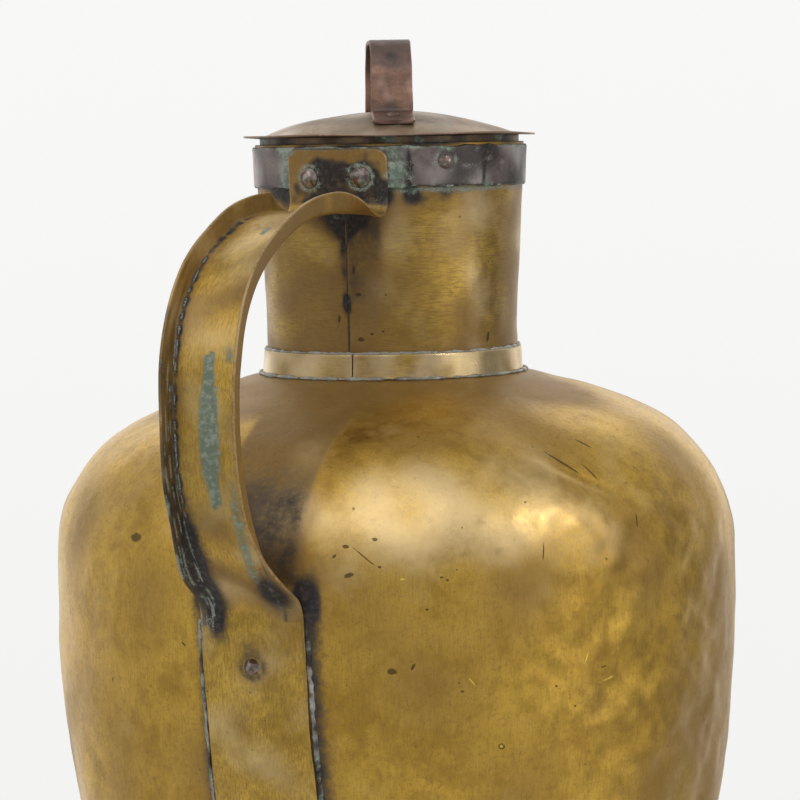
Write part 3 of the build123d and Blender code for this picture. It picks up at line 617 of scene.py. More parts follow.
def strap_stations(spacing=1.2):
    """Rows of distance, height, facing, fold, crown radius and offset aside, along the strap."""
    rows = []

    def along(arc, fold, crown, hollow=False, aside=lambda z: 0.0):
        r, z, radius, start, end = arc
        count = max(3, round(abs(math.radians(end - start)) * radius / spacing))
        for share in np.linspace(0, 1, count + 1)[1:]:
            angle = start + (end - start) * share
            a = math.radians(angle)
            place = r + radius * math.cos(a), z + radius * math.sin(a)
            facing = angle - 180 if hollow else angle
            rows.append((*place, facing, fold(share), crown(share, place[0], facing), aside(place[1])))

    def lying(travel):
        """0 where the flanges stand, 1 where the strap lies flat on the body."""
        return float(ease(travel, FLANGE_OPENS_AT, 1 + HEEL_SHARE))

    def along_opening(arc, travel, hollow):
        along(arc, lambda s: 1 - lying(travel(s)),
              lambda s, r, f: STRAP_ON_WALL / max(lying(travel(s)), FLATTEST), hollow)

    for z in np.linspace(TAB_TOP_Z, TAB_BASE_Z, round((TAB_TOP_Z - TAB_BASE_Z) / (spacing / 2)) + 1):
        r = TAB_R + neck_radius(z) - neck_radius(TAB_BASE_Z)
        rows.append((r, z, 0.0, 0.0, r, 0.0))
    along(BEND_ARC, lambda s: 0.0, lambda s, r, f: TAB_R / (1 - s / 2), hollow=True)
    start_r, level = rows[-1][:2]
    for share in np.linspace(0, 1, round((LOOP_TOP_STRAIGHT - start_r) / spacing) + 1)[1:]:
        folded = float(ease(share, 0, 1))
        r = start_r + (LOOP_TOP_STRAIGHT - start_r) * share
        rows.append((r, level, 90.0, folded, 2 * TAB_R / max(1 - folded, FLATTEST), 0.0))
    for arc in (TOP_ARC, OUTER_ARC):
        along(arc, lambda s: 1.0, lambda s, r, f: TAB_R / FLATTEST)
    rows.append((rows[-1][0], LOWER_ARC[1], *rows[-1][2:]))
    along_opening(LOWER_ARC, lambda s: s, hollow=False)
    along_opening(HEEL_ARC, lambda s: 1 + s * HEEL_SHARE, hollow=True)
    along(SIDE_ARC, lambda s: 0.0, lambda s, r, f: r / math.cos(math.radians(f)), aside=strap_aside)
    return np.array(rows)


def strap_section(row, travel, end, cap):
    """Outline of the strap at one station, and its places on the unfolded strip.

    end is -1 or 1 for the outlines that round off the strap's first or last edge, cap their place round it.
    """
    r, z, facing, fold, crown, aside = row
    f = math.radians(facing)
    out = np.array([0, -math.cos(f), math.sin(f)])
    ahead = np.array([0, -math.sin(f), -math.cos(f)])
    reach = STRAP_EDGE + 0.22 * math.sin(travel / 21.0) + 0.14 * math.sin(travel / 7.3 + 1.0) - 0.1
    down = TAB_TOP_Z - z
    if down < TAB_CORNER:
        reach -= TAB_CORNER - math.sqrt(max(TAB_CORNER**2 - (TAB_CORNER - down) ** 2, 0))
    s = STRAP_COLUMNS * (reach - STRAP_MID)
    s = np.concatenate([-s[:0:-1], s])
    unfolded = np.linspace(0, STRAP_EDGE, 1201)
    angle = ease(unfolded, FOLD_LINE - FOLD_HALF_WIDTH, FOLD_LINE + FOLD_HALF_WIDTH)
    angle *= math.radians(fold * FLANGE_ANGLE)
    x_of, y_of = (np.concatenate([[0], np.cumsum(way(angle[:-1]) * unfolded[1])]) for way in (np.cos, np.sin))
    middle = np.stack([np.interp(abs(s), unfolded, x_of) * np.sign(s), np.interp(abs(s), unfolded, y_of)], -1)
    tilt = np.interp(abs(s), unfolded, angle) * np.sign(s)
    across = np.stack([np.cos(tilt), np.sin(tilt)], -1)
    normal = np.stack([-np.sin(tilt), np.cos(tilt)], -1)
    loop = strip_outline(middle, across, normal, STRAP_MID * math.cos(cap))
    off = loop[:, 0] + aside
    lift = loop[:, 1] - crown + np.sqrt(crown**2 - off**2)
    base = np.array([0, -r, z]) + ahead * end * STRAP_MID * (math.sin(cap) - 1)
    ones = np.ones(len(s))
    lay = [strip_round(s, s[-1], s[::-1], s[0]), np.full(len(off), travel), strip_round(ones, 0, -ones, 0)]
    return base + off[:, None] * np.array([1.0, 0, 0]) + lift[:, None] * out, np.stack(lay, -1)


def strap_part():
    """The strap as one mesh, and for each point its place across and along the flat strip and its face."""
    rows = strap_stations()
    travel, last = path_lengths(rows[:, :2]), len(rows) - 1
    cap = np.radians([80, 55, 30])
    plan = [(0, -1, a) for a in cap]
    plan += [(k, 0, 0.0) for k in range(last + 1)]
    plan += [(last, 1, a) for a in cap[::-1]]
    sections, lays = zip(*(strap_section(rows[k], travel[k], end, a) for k, end, a in plan))
    lay = np.concatenate(lays)
    part = grid_part(np.array(sections), 1.0 * (lay[:, 2] == 0), ends=True)
    points = part[0]
    free = ease(lay[:, 1], 34, 60) * ease(lay[:, 1], 360, 330)
    points[:, 1] += (waves(points, 48, 5) * 0.22 + waves(points, 17, 6) * 0.07) * free
    points[:, 0] += waves(points, 70, 7) * 0.25 * free
    return part, lay


# ---- vessel
def side_curve(spacing):
    """Outer face of the body from its bottom to the edge of its hole."""
    bottom_z = BODY_BOTTOM_Z + BODY_SHEET / 2
    start = -math.degrees(math.asin((BELLY_Z - bottom_z) / LOWER_SIDE_RADIUS))
    top = math.degrees(math.acos((HOLE_RADIUS + BODY_SHEET / 2) / DOME_SPHERE))
    return np.concatenate([
        [[body_radius(bottom_z), bottom_z]],
        arc_points((BELLY_RADIUS - LOWER_SIDE_RADIUS, BELLY_Z), LOWER_SIDE_RADIUS, start, 0, spacing),
        line_points((BELLY_RADIUS, BELLY_Z), (BELLY_RADIUS, CORNER_Z), spacing),
        arc_points((CORNER_CENTRE_R, CORNER_Z), CORNER_RADIUS, 0, DOME_ANGLE, spacing),
        arc_points((0, DOME_CENTRE_Z), DOME_SPHERE, DOME_ANGLE, top, spacing),
    ])


def beside_strap(points):
    """Millimetres round the body from the middle of the strap; far away at the back."""
    gap = points[..., 0] - np.where(points[..., 2] < HEEL_Z, strap_aside(points[..., 2]), 0)
    return np.where(points[..., 1] < 0, gap, 200.0)


def body_push(points):
    """Dents and unevenness of the raised sheet, all of them inwards."""
    z, azimuth, wave = points[..., 2], turn_from(points), partial(waves, points)
    push = 0.30 * wave(80, 11) + 0.13 * wave(34, 12) + 0.045 * wave(15, 13) - 0.85
    hammered = ease(azimuth, 26, 52) * ease(azimuth, 104, 86) * ease(z, 90, 160) * ease(z, 340, 300)
    push += hammered * (0.34 * wave(23, 14) + 0.20 * wave(12, 15))
    # A long slanting dent on the shoulder: its bowl, a crease along it and a step at its end.
    over, up = np.radians(turn_from(points, 56.0)) * BELLY_RADIUS * 0.8, z - 346.0
    along, across = over * 0.85 - up * 0.53, over * 0.53 + up * 0.85
    push -= 2.6 * bell(along, 0, 24) * bell(across, 0, 11)
    push -= 1.5 * bell(along, 9, 15) * bell(across, -5, 2.6)
    push -= 0.5 * bell(along, 22, 6) * bell(across, 0, 9)
    # The sheet keeps its true shape under the strap, the collar and the foot.
    clear = np.where(z > HEEL_Z + 14, 1.0, ease(abs(beside_strap(points)), 26, 44))
    return np.minimum(push, 0.0) * clear * ease(axis_distance(points), 66, 82) * ease(z, 36, 60)


def tilt_shoulder(points):
    """Lifts the round shoulder a little on one side and sinks it on the other."""
    a = math.radians(VIEW_AZIMUTH)
    aside = points[:, 0] * math.cos(a) + points[:, 1] * math.sin(a)
    points[:, 2] += 1.5 * aside / 140 * ease(points[:, 2], 285, 335) * ease(axis_distance(points), 64, 105)


def make_body():
    part = turned(side_curve(spacing=2.35), BODY_SHEET, full_turn(430), body_push, inner_every=6)
    points = part[0]
    tilt_shoulder(points)
    z, r, wave = points[:, 2], axis_distance(points), partial(waves, points)
    azimuth, gap = turn_from(points), beside_strap(points)
    inside = (z < BELLY_Z) & (r <= body_radius(np.minimum(z, BELLY_Z)) - 2.4 - BODY_SHEET / 2)
    top, beside_run = z > CORNER_Z, z < HEEL_Z
    run = 0.55 * bell(abs(gap), STRAP_EDGE + 1.0, 4.0) * (z < HEEL_Z + 4)
    drips = 0.32 * bell(gap, STRAP_EDGE + 5.0, 5.0) * ease(z, 150, 190) * (z < HEEL_Z + 2)
    past = gap - STRAP_EDGE
    patch_right = 1.25 * ease(past, -8, -3) * ease(past, 10, 3) * bell(z, 290, 12)
    patch_left = 0.9 * bell(gap, -STRAP_EDGE - 1, 4.0) * bell(z, 289, 6)
    # Painted shade: the shadow and dark reflection of the handle loop on the shoulder beside it, laid into
    # the tarnish and soot.
    painted_loop_shade = ease(abs(gap - 1), 24, 17) * ease(z, 290, 300) * ease(r, 75, 110) * (points[:, 1] < 0)
    crown, low = 0.70 * ease(r, 120, 75) * top, 0.55 * ease(z, 130, 50)
    # Painted shade: darker tarnish below the shoulder on the right-hand side, where the metal mirrors the
    # dark wall of the room.
    painted_side_shade = 0.45 * ease(azimuth, 62, 88) * ease(z, 320, 285) * ease(azimuth, 150, 125)
    tan = 0.22 + most(painted_loop_shade, crown, low) + 0.16 * wave(70, 21) + painted_side_shade
    # Painted highlight: paler metal on the shoulder where the key light's reflection falls, over faint random
    # polish.
    bright = 0.05 + 0.72 * bell(azimuth, 30, 34) * bell(z, 324, 24) + 0.09 * wave(30, 22)
    add_piece(
        "body_shell", part, body_brass,
        soot=most(run + drips, patch_right, patch_left, 0.26 * bell(r, 62.8, 1.6) * top,
                  0.5 * bell(z, 37, 3.5), painted_loop_shade * (0.20 + 0.42 * ease(z, 350, 330))),
        tan=np.where(inside, 0.9, tan), bright=np.where(inside, 0, bright),
        green=(0.30 * bell(abs(gap), STRAP_EDGE + 3, 3.0) * beside_run * ease(wave(26, 23), 0.2, 1.2)
               + 0.33 * bell(r, 63.5, 2.0) * top * ease(wave(22, 24), 0.0, 1.0)),
        pale=0.42 * bell(r, 63.2, 1.4) * top * ease(wave(14, 25), -0.3, 0.9),
    )


def neck_push(points):
    """A slight swell of the tube, and the groove and lap of its seam."""
    z, turn = points[..., 2], turn_from(points, SEAM_AZIMUTH)
    swell = -0.28 + 0.20 * waves(points, 62, 31) + 0.07 * waves(points, 21, 32)
    groove = -0.40 * bell(turn, 0, 0.45) + 0.14 * ease(turn, 0.2, 0.9) * ease(turn, 7, 5)
    free = ease(z, 389, 398) * ease(z, 460, 452)
    return np.minimum(swell, 0.0) * free + groove * ease(z, 388, 390) * ease(z, 460, 456)


def make_neck():
    close_at_seam = np.concatenate([np.linspace(-8, 12, 90), np.linspace(12, 352, 430)[1:-1]])
    curve = ring_curve(neck_radius, NECK_FOOT_Z, RIM_Z, NECK_SHEET, 1.3)
    part = turned(curve, NECK_SHEET, close_at_seam, neck_push, inner_every=4)
    points = part[0]
    z, turn, wave = points[:, 2], turn_from(points, SEAM_AZIMUTH), partial(waves, points)
    outside, rim = axis_distance(points) > neck_radius(z) - NECK_SHEET * 0.75, z > RIM_Z - 1.3
    under_tab = ease(abs(turn - 1) + 0.62 * (460 - z) + 2.5 * wave(14, 37), 27, 10) * ease(z, 428, 442)
    wander = -0.6 + 0.66 * np.sin(z / 7.0) + 0.39 * np.sin(z / 2.9 + 1)
    drip = (0.72 + 0.30 * wave(15, 39)) * bell(turn, wander, 2.3) * ease(z, 396, 412)
    below_band = (1.05 + 0.30 * wave(11, 38)) * bell(z, 461, 7.5) * ease(turn, 62, 28) * ease(turn, -60, -25)
    # Painted shade: the dark reflection of the handle on the neck just right of the seam, laid into the soot.
    painted_seam_shade = ease(abs(turn - 8), 11, 5) * ease(z, 380, 440) * (0.52 + 0.12 * wave(18, 29))
    soot = most(1.05 * under_tab, drip, 0.62 * bell(turn, 0, 0.8), below_band, 0.34 * bell(z, 388.6, 0.9),
                painted_seam_shade, 0.45 * bell(z, 460.5, 1.6))
    tan = 0.24 + 0.62 * bell(turn, 0, 22) + 0.45 * bell(turn, -75, 30) + 0.25 * bell(z, 391, 5)
    # The term for turns 66 to 150 below is painted shade: darker tarnish where the neck mirrors the dark
    # wall.
    tan += 0.6 * bell(z, 457, 8) * ease(turn, 80, 10) + 0.45 * ease(turn, 66, 90) * ease(turn, 150, 120)
    tan += 0.16 * wave(30, 33)
    # Painted highlights: paler metal in two upright bands on the neck where the light reflects most.
    bright = 0.10 + 0.22 * bell(turn, 24, 9) * ease(z, 395, 430) + 0.32 * bell(turn, 60, 9)
    green = 0.40 * bell(z, 459.5, 2.0) * ease(turn, 15, 25) * ease(turn, 95, 60) + 0.30 * bell(z, 461, 1.5)
    green += 0.38 * under_tab * ease(wave(12, 35), -0.2, 1.0)
    pale = 0.52 * bell(z, 460.2, 1.3) * ease(turn, 20, 45) * ease(turn, 110, 90)
    pale += 0.30 * bell(z, 460.4, 1.2) * ease(wave(16, 36), 0.0, 1.0)
    add_piece(
        "neck", part, neck_brass, soot=np.where(rim, 0.34 + 0.22 * wave(24, 28), soot * outside),
        tan=np.where(outside, tan, 0.75), bright=(bright + 0.10 * wave(30, 34)) * (outside & ~rim),
        green=green * outside, pale=pale * outside)


def make_collar():
    outside = collar_radius(COLLAR_LOW)
    foot_z = shoulder_z(outside) + 0.1
    round_top = 0.55
    z = np.linspace(foot_z + 0.7, COLLAR_HIGH - round_top, 12)
    outer = np.stack([collar_radius(z), z], -1)
    loop = np.concatenate([
        outer,
        arc_points((collar_radius(COLLAR_HIGH) - round_top, COLLAR_HIGH - round_top), round_top, 0, 90, 0.25),
        [[neck_radius(COLLAR_HIGH), COLLAR_HIGH], [neck_radius(COLLAR_LOW), COLLAR_LOW + 0.1]],
        [[outside - 0.35, foot_z + 0.03], [outside - 0.05, foot_z + 0.3]],
    ])
    joint_gap = 0.25
    azimuths = COLLAR_JOINT_AZIMUTH + np.linspace(joint_gap, 360 - joint_gap, 420)
    grid = around(azimuths, loop[None, :, 0], loop[None, :, 1])
    on_face = np.arange(len(loop)) < len(outer) + 1
    dent = (0.10 * waves(grid, 30, 41) + 0.05 * waves(grid, 11, 42) - 0.12) * on_face
    grid[..., :2] *= (1 + np.minimum(dent, 0.05) / outside)[..., None]
    part = grid_part(grid, ends=True)
    points = part[0]
    z, turn, wave = points[:, 2], turn_from(points, COLLAR_JOINT_AZIMUTH), partial(waves, points)
    add_piece(
        "neck_collar", part, neck_brass,
        soot=0.24 * bell(z, foot_z, 0.9) + 0.40 * bell(turn, 0, 0.5) + 0.20 * bell(z, COLLAR_HIGH, 0.8),
        tan=0.10 + 0.35 * bell(turn, -30, 22) + 0.12 * wave(25, 43),
        # Paler metal all round the collar, and a painted highlight where the window light reflects on it.
        bright=0.60 + 0.3 * bell(turn, 48, 18) + 0.35 * bell(turn, 0, 3.0) + 0.15 * wave(20, 45),
        green=0.30 * bell(z, foot_z, 1.2),
        pale=0.50 * bell(z, foot_z, 1.0) * ease(wave(9, 44), -0.4, 0.6) + 0.42 * bell(z, COLLAR_HIGH, 0.6),
    )


def make_collar_solder():
    """Lumpy runs of solder above and below the collar."""
    azimuths = full_turn(540)
    a = np.radians(np.linspace(0, 360, 12, endpoint=False))
    foot_r = collar_radius(COLLAR_LOW)
    runs = []
    for r, z, wide, tall, seed in (
        (neck_radius(COLLAR_HIGH) + 0.55, COLLAR_HIGH + 0.30, 0.75, 0.65, 51),
        (foot_r + 0.65, shoulder_z(foot_r) + 0.35, 1.05, 0.75, 52),
    ):
        spine = around(azimuths, r, z)
        swell = np.clip(1 + 0.30 * waves(spine, 9, seed) + 0.18 * waves(spine, 3.5, seed + 10), 0.35, 1.45)
        grid = around(azimuths, r + np.cos(a) * wide * swell, z + np.sin(a) * tall * swell)
        runs.append(grid_part(grid, wrap_rows=True))
    part = joined(runs)
    points = part[0]
    upper = points[:, 2] > (COLLAR_LOW + COLLAR_HIGH) / 2
    add_piece(
        "collar_solder", part, solder_grey, tan=np.full(len(upper), 0.2),
        soot=np.where(upper, 0.02, 0.12) + 0.14 * waves(points, 12, 53),
        pale=np.where(upper, 0.50, 0.42) + 0.16 * waves(points, 8, 54),
    )


def make_band():
    """The strip round the rim, and its lapped end as a second layer."""

    def push(points):
        return np.minimum(0.05 * waves(points, 24, 61) + 0.03 * waves(points, 9, 62) - 0.05, 0.0)

    lap_thickness = LAP_SHEET + 0.3
    curve = ring_curve(lambda z: neck_radius(z) + BAND_SHEET, BAND_LOW, BAND_HIGH, BAND_SHEET)
    lap_curve = ring_curve(
        lambda z: neck_radius(z) + BAND_SHEET + LAP_SHEET, BAND_LOW + 0.1, BAND_HIGH - 0.1, lap_thickness)
    part = joined([
        turned(curve, BAND_SHEET, full_turn(420), push),
        turned(lap_curve, lap_thickness, np.linspace(*LAP_AZIMUTHS, 70), push, full=False),
    ])
    points = part[0]
    middle = (BAND_LOW + BAND_HIGH) / 2
    uneven = 0.22 * waves(points, 16, 63) + 0.10 * waves(points, 6, 64)
    off_middle = np.clip((points[:, 2] - middle) / (BAND_HIGH - middle), -1, 1)
    points[:, 2] += uneven * off_middle - 0.12 * (points[:, 2] > BAND_HIGH - 1.5)
    z, azimuth, wave = points[:, 2], turn_from(points), partial(waves, points)
    tab_half = math.degrees(STRAP_EDGE / neck_radius(BAND_HIGH))
    beside_tab = bell(abs(azimuth), tab_half + 3.0, 5.0)
    lap_end = most(*(bell(azimuth, end, 1.2) for end in LAP_AZIMUTHS))
    rivet = np.hypot(turn_from(points, BAND_RIVET_AZIMUTH) * 1.07, z - BAND_RIVET_Z)
    field = wave(11, 65)
    green = 0.60 * bell(z, BAND_HIGH, 1.8) * ease(field, -1.4, 0.3) + 0.36 * bell(z, BAND_LOW, 1.3)
    green += 0.62 * beside_tab + 0.40 * bell(rivet, 5, 1.6) + 0.30 * ease(wave(20, 66), 0.9, 1.9)
    pale = 0.50 * bell(z, BAND_HIGH, 1.1) * ease(field, -0.6, 0.9)
    pale += 0.34 * bell(z, BAND_LOW, 0.8) * ease(field, 0, 1)
    pale += 0.42 * beside_tab * ease(field, -0.2, 1.0) + 0.30 * bell(rivet, 4.6, 1.1) + 0.20 * wave(8, 60)
    soot = 0.16 + 0.16 * wave(24, 67) + 0.26 * ease(azimuth, 20, 60) + 0.55 * lap_end
    soot += 0.5 * bell(z, BAND_LOW, 0.8)
    add_piece("rim_band", part, band_copper, soot=soot, tan=0.45 + 0.2 * wave(30, 68), green=green, pale=pale,
              bright=0.22 + 0.20 * wave(26, 69))


def make_foot():
    """Flared skirt with a rolled bead at its foot."""

    def push(points):
        swell = 0.16 * waves(points, 50, 71) + 0.05 * waves(points, 14, 72) - 0.1
        return np.minimum(swell, 0.02) * ease(points[..., 2], 33, 28)

    steps = full_turn(360)
    top = (body_radius(FOOT_TOP_Z) + FOOT_SHEET + 0.1, FOOT_TOP_Z - FOOT_SHEET / 2)
    skirt = turned(arc_through((FOOT_RADIUS, FOOT_BEAD_Z), FOOT_WAIST, top, 1.6), FOOT_SHEET, steps, push)
    a = np.radians(np.linspace(-58, 238, 22))
    bead_r = FOOT_RADIUS - FOOT_SHEET / 2 + FOOT_BEAD_RADIUS * np.cos(a)
    bead_z = np.maximum(FOOT_BEAD_Z + FOOT_BEAD_RADIUS * np.sin(a), 0.0)
    part = joined([skirt, grid_part(around(steps, bead_r, bead_z), wrap_rows=True)])
    z, wave = part[0][:, 2], partial(waves, part[0])
    add_piece(
        "foot_ring", part, body_brass,
        soot=0.45 * bell(z, FOOT_TOP_Z, 1.4) + 0.30 * bell(z, 4.6, 1.4) + 0.06 * wave(30, 73),
        tan=0.42 + 0.18 * wave(45, 74), bright=0.25 + 0.55 * bell(z, 1.5, 2.2),
        green=0.34 * bell(z, FOOT_TOP_Z, 2.0) * ease(wave(18, 75), 0, 1),
    )


def make_base():
    """Bottom plate: flat rim and a crown that rises inside."""
    crown_r, rim_r = BASE_RADIUS - BASE_RIM, BASE_RADIUS - BASE_SHEET / 2
    sphere = (crown_r**2 + BASE_CROWN**2) / (2 * BASE_CROWN)
    start = math.degrees(math.acos(crown_r / sphere))
    curve = np.concatenate([
        [[rim_r, BODY_BOTTOM_Z]],
        line_points((rim_r, BODY_BOTTOM_Z), (crown_r, BODY_BOTTOM_Z), 2.5),
        arc_points((0, BODY_BOTTOM_Z + BASE_CROWN - sphere), sphere, start, 90, 3.0),
    ])
    curve[-1, 0] = 0.0
    part = turned(curve, BASE_SHEET, full_turn(200), to_axis=True)
    soot = 0.25 + 0.15 * waves(part[0], 40, 76)
    add_piece("base_plate", part, body_brass, weld=0.02, soot=soot, tan=np.full(len(soot), 0.75))


# ---- handle strap and its solder
def make_strap():
    """s is the place across the unfolded strap and v the place along it, from the top of the tab."""
    part, lay = strap_part()
    points, faces, edge = part
    (s, v, face), z, wave = lay.T, points[:, 2], partial(waves, points)
    tab, front, on_loop = v < TAB_END, face >= 0, z > HEEL_Z
    field, small = wave(16, 81), wave(6, 82)
    long_grains = waves(np.stack([s * 7, v * 0.8, 0 * s], -1), 16, 85)
    rivet = np.hypot(abs(s) - 12.2, z - TAB_RIVET_Z)
    low_rivet = np.hypot(s, z - BODY_RIVET_HEIGHTS[0])
    left_flange = (s < -FOLD_LINE - 0.4) & (v > 100)
    flange = left_flange * (z > HEEL_Z - 4)
    tab_dark = ease(np.hypot((s - 4) / 23, (z - 460) / 15) + 0.10 * field, 1.20, 0.80)
    soot = most(
        np.where(tab, 0.88 * tab_dark + 0.12 * small, 0.50 * ease(v, 40, 24) * ease(s, -8, 6)),
        0.95 * flange * (0.50 * ease(v, 110, 190) + 0.22 * ease(v, 205, 235) + 0.16 * long_grains),
        (0.80 + 0.2 * small) * bell(s, -FOLD_LINE + 0.8, 2.0) * ease(v, 60, 100) * (z > HEEL_Z - 6),
        1.15 * bell(s, -FOLD_LINE - 1, 6.5) * ease(v, 228, 256) * (z > HEEL_Z - 4),
        1.2 * bell(s, -17, 7.0) * bell(z, 293, 9) * (v > ON_BODY),
        1.2 * bell(s, 15.0, 8.0) * bell(v, 286, 11),
        0.42 * bell(abs(s), STRAP_EDGE, 1.4) * (z < HEEL_Z + 2),
        (0.50 * bell(low_rivet, 4.4, 1.6) + 0.26 * bell(low_rivet, 7.0, 3.0)) * (v > ON_BODY),
        0.55 * bell(s, FOLD_LINE + 1.5, 1.2) * ease(v, 214, 250) * on_loop,
    )
    # A lens-shaped verdigris streak down the middle of the loop's outer side, and a patch beside it.
    streak_width = 4.4 * np.sqrt(np.clip(1 - ((v - 209) / 34) ** 2, 0, 1))
    streak = ease(abs(s - 1.2 + (v - 209) * 0.012) / np.maximum(streak_width, 0.05), 1.25, 0.70)
    patch = ease(abs(s - 9.3), 4.6, 1.0) * ease(v, 212, 246) * ease(v, 286, 276)
    tab_green = 0.50 * bell(abs(s), STRAP_EDGE - 1, 2.2) * ease(field, -0.5, 1.2) + 0.35 * bell(z, 478, 2)
    green = most(
        most(0.95 * streak + 0.62 * patch + 0.66 * bell(s, 10.0, 2.6) * bell(v, 178, 6),
             0.55 * bell(rivet, 5.6, 1.6) * tab) + tab * tab_green,
        0.60 * flange * ease(v, 165, 190) * ease(long_grains, -0.2, 1.2),
        0.34 * bell(s, FOLD_LINE, 2.0) * ease(v, 225, 260) * on_loop,
    )
    pale = 0.50 * bell(rivet, 5.4, 1.2) * tab + 0.30 * tab * bell(z, 456, 3) * ease(s, -8, 20)
    fold_solder = bell(s, -FOLD_LINE + 0.6, 1.0) * ease(v, 90, 130) * ease(v, 262, 240)
    pale += 0.56 * fold_solder * ease(small, -0.9, 0.5) + 0.34 * streak * ease(small, 0.3, 1.3)
    pale += 0.58 * flange * ease(v, 150, 185) * ease(-long_grains, 0.1, 0.9)
    pale += 0.58 * bell(s, 2.5, 2.6) * bell(v, 300, 13) * ease(small, -0.6, 0.9)
    tan = 0.32 + 0.18 * wave(28, 83) + 0.35 * ~front + 0.25 * bell(v, 290, 12) - 0.22 * ease(v, 292, 304)
    tan += 0.30 * bell(s, 4, 12) * bell(v, 262, 30) + 0.75 * tab
    # Painted shade: the flanges along the loop, which face aside, are made darker with tarnish.
    tan += 0.40 * (abs(s) > FOLD_LINE) * (v > 40) * on_loop
    covered = np.clip(left_flange * ease(v, 190, 230) + 1.0 * (z < HEEL_Z + 6) * (v > 100), 0, 1)
    add_piece(
        "handle_strap", (points, faces, edge * (1 - covered)), strap_brass, lay,
        soot=np.where(front, soot, 0.25 * tab), tan=tan, green=green * front, pale=pale * front,
        bright=np.where(front, np.where(tab, 0.2, 0.28 + 0.12 * wave(30, 84)), 0.1),
    )


def make_strap_solder():
    """Uneven run of solder along each edge of the strap on the body."""
    z = np.linspace(STRAP_BOTTOM_Z + 0.5, HEEL_Z - 0.5, 330)
    u = np.linspace(-1, 1, 9)
    wall = body_radius(z)[:, None]
    runs = []
    for side in (-1, 1):
        middle = side * ((STRAP_WIDTH + SOLDER_WIDTH) / 2 + SOLDER_FIT)
        spine = np.stack([np.full_like(z, middle), np.full_like(z, -BELLY_RADIUS), z], -1)
        wide = 1.0 + 0.16 * waves(spine, 15, 91 + side) + 0.10 * waves(spine, 5, 94 + side)
        tall = 0.95 + 0.28 * waves(spine, 8, 97 + side) + 0.15 * waves(spine, 3, 88 + side)
        tall = np.clip(tall, 0.35, 1.45) * np.clip(np.minimum(z - z[0], z[-1] - z) / 1.5, 0.15, 1) ** 0.5
        width = 2 * np.clip(SOLDER_WIDTH / 2 * wide, 0.7, SOLDER_WIDTH / 2)
        inner_x = middle - side * SOLDER_WIDTH / 2
        x = (strap_aside(z) + inner_x + side * width / 2)[:, None] + u * width[:, None] / 2
        top = wall + tall[:, None] * np.sqrt(1 - 0.92 * u**2) * (1 - 0.30 * side * u)
        under, over = (
            np.stack([x, -np.sqrt(radius**2 - x**2), z[:, None] + 0 * x], -1) for radius in (wall - 0.1, top))
        runs.append(grid_part(np.concatenate([under[:, ::-1], over], axis=1), ends=True))
    part = joined(runs)
    wave = partial(waves, part[0])
    add_piece(
        "handle_solder", part, solder_grey, weld=0.001, soot=0.56 + 0.22 * wave(22, 98) + 0.16 * wave(6, 99),
        pale=0.26 + 0.22 * wave(9, 87), green=0.22 + 0.2 * wave(13, 86))


# ---- rivets
def plane_at(azimuth, radius, z, drop):
    """Moves points from a rivet's own axes, head up, to its seat. Its axis points out, tipped by drop."""
    a, d = math.radians(azimuth), math.radians(drop)
    out = Vector((math.sin(a), -math.cos(a), 0))
    axis = out * math.cos(d) - Vector((0, 0, math.sin(d)))
    turn = np.array(axis.to_track_quat("Z", "Y").to_matrix())
    return lambda points: points @ turn.T + np.array([out.x * radius, out.y * radius, z])


def rivet_part(place, head_radius, head_height, shank, grip, tail_radius, tail_height, seed):
    """Hand-hammered rivet: faceted dome, shank and flattened tail. A tail radius of 0 leaves the tail off."""
    sphere = (head_radius**2 + head_height**2) / (2 * head_height)
    rise = math.degrees(math.acos(head_radius / sphere)) if sphere > head_radius else 0.0
    dome = arc_points((0, head_height - sphere), sphere, rise, 90, head_radius / 14)
    dome[-1, 0] = 0.0
    tail = [[0, -grip]]
    if tail_radius:
        tail = [[0, -grip - tail_height], [tail_radius * 0.8, -grip - tail_height],
                [tail_radius, -grip - tail_height * 0.6], [tail_radius, -grip]]
    shank_and_rim = [[shank, -grip], [shank, 0.0], [head_radius * 0.96, 0.0], [head_radius, 0.12]]
    profile = np.concatenate([tail, shank_and_rim, dome])
    points, faces, edge = grid_part(around(full_turn(40), *profile.T), wrap_rows=True, wrap_columns=False)
    knock = 0.05 * waves(points, head_radius * 1.3, seed) + 0.03 * waves(points, head_radius * 0.6, seed + 1)
    points[:, 2] += np.where(points[:, 2] > 0.3, np.minimum(knock - 0.08, 0.0) * head_height, 0)
    return place(points), faces, edge


def body_seat(height):
    """Seat of a rivet of the strap on the side of the body, as plane_at takes it."""
    lean = math.degrees(math.asin((BELLY_Z - height) / LOWER_SIDE_RADIUS))
    out = body_radius(height) + (STRAP_GAP + STRAP_SHEET) / math.cos(math.radians(lean))
    return math.degrees(math.asin(strap_aside(height) / out)), out, height, lean


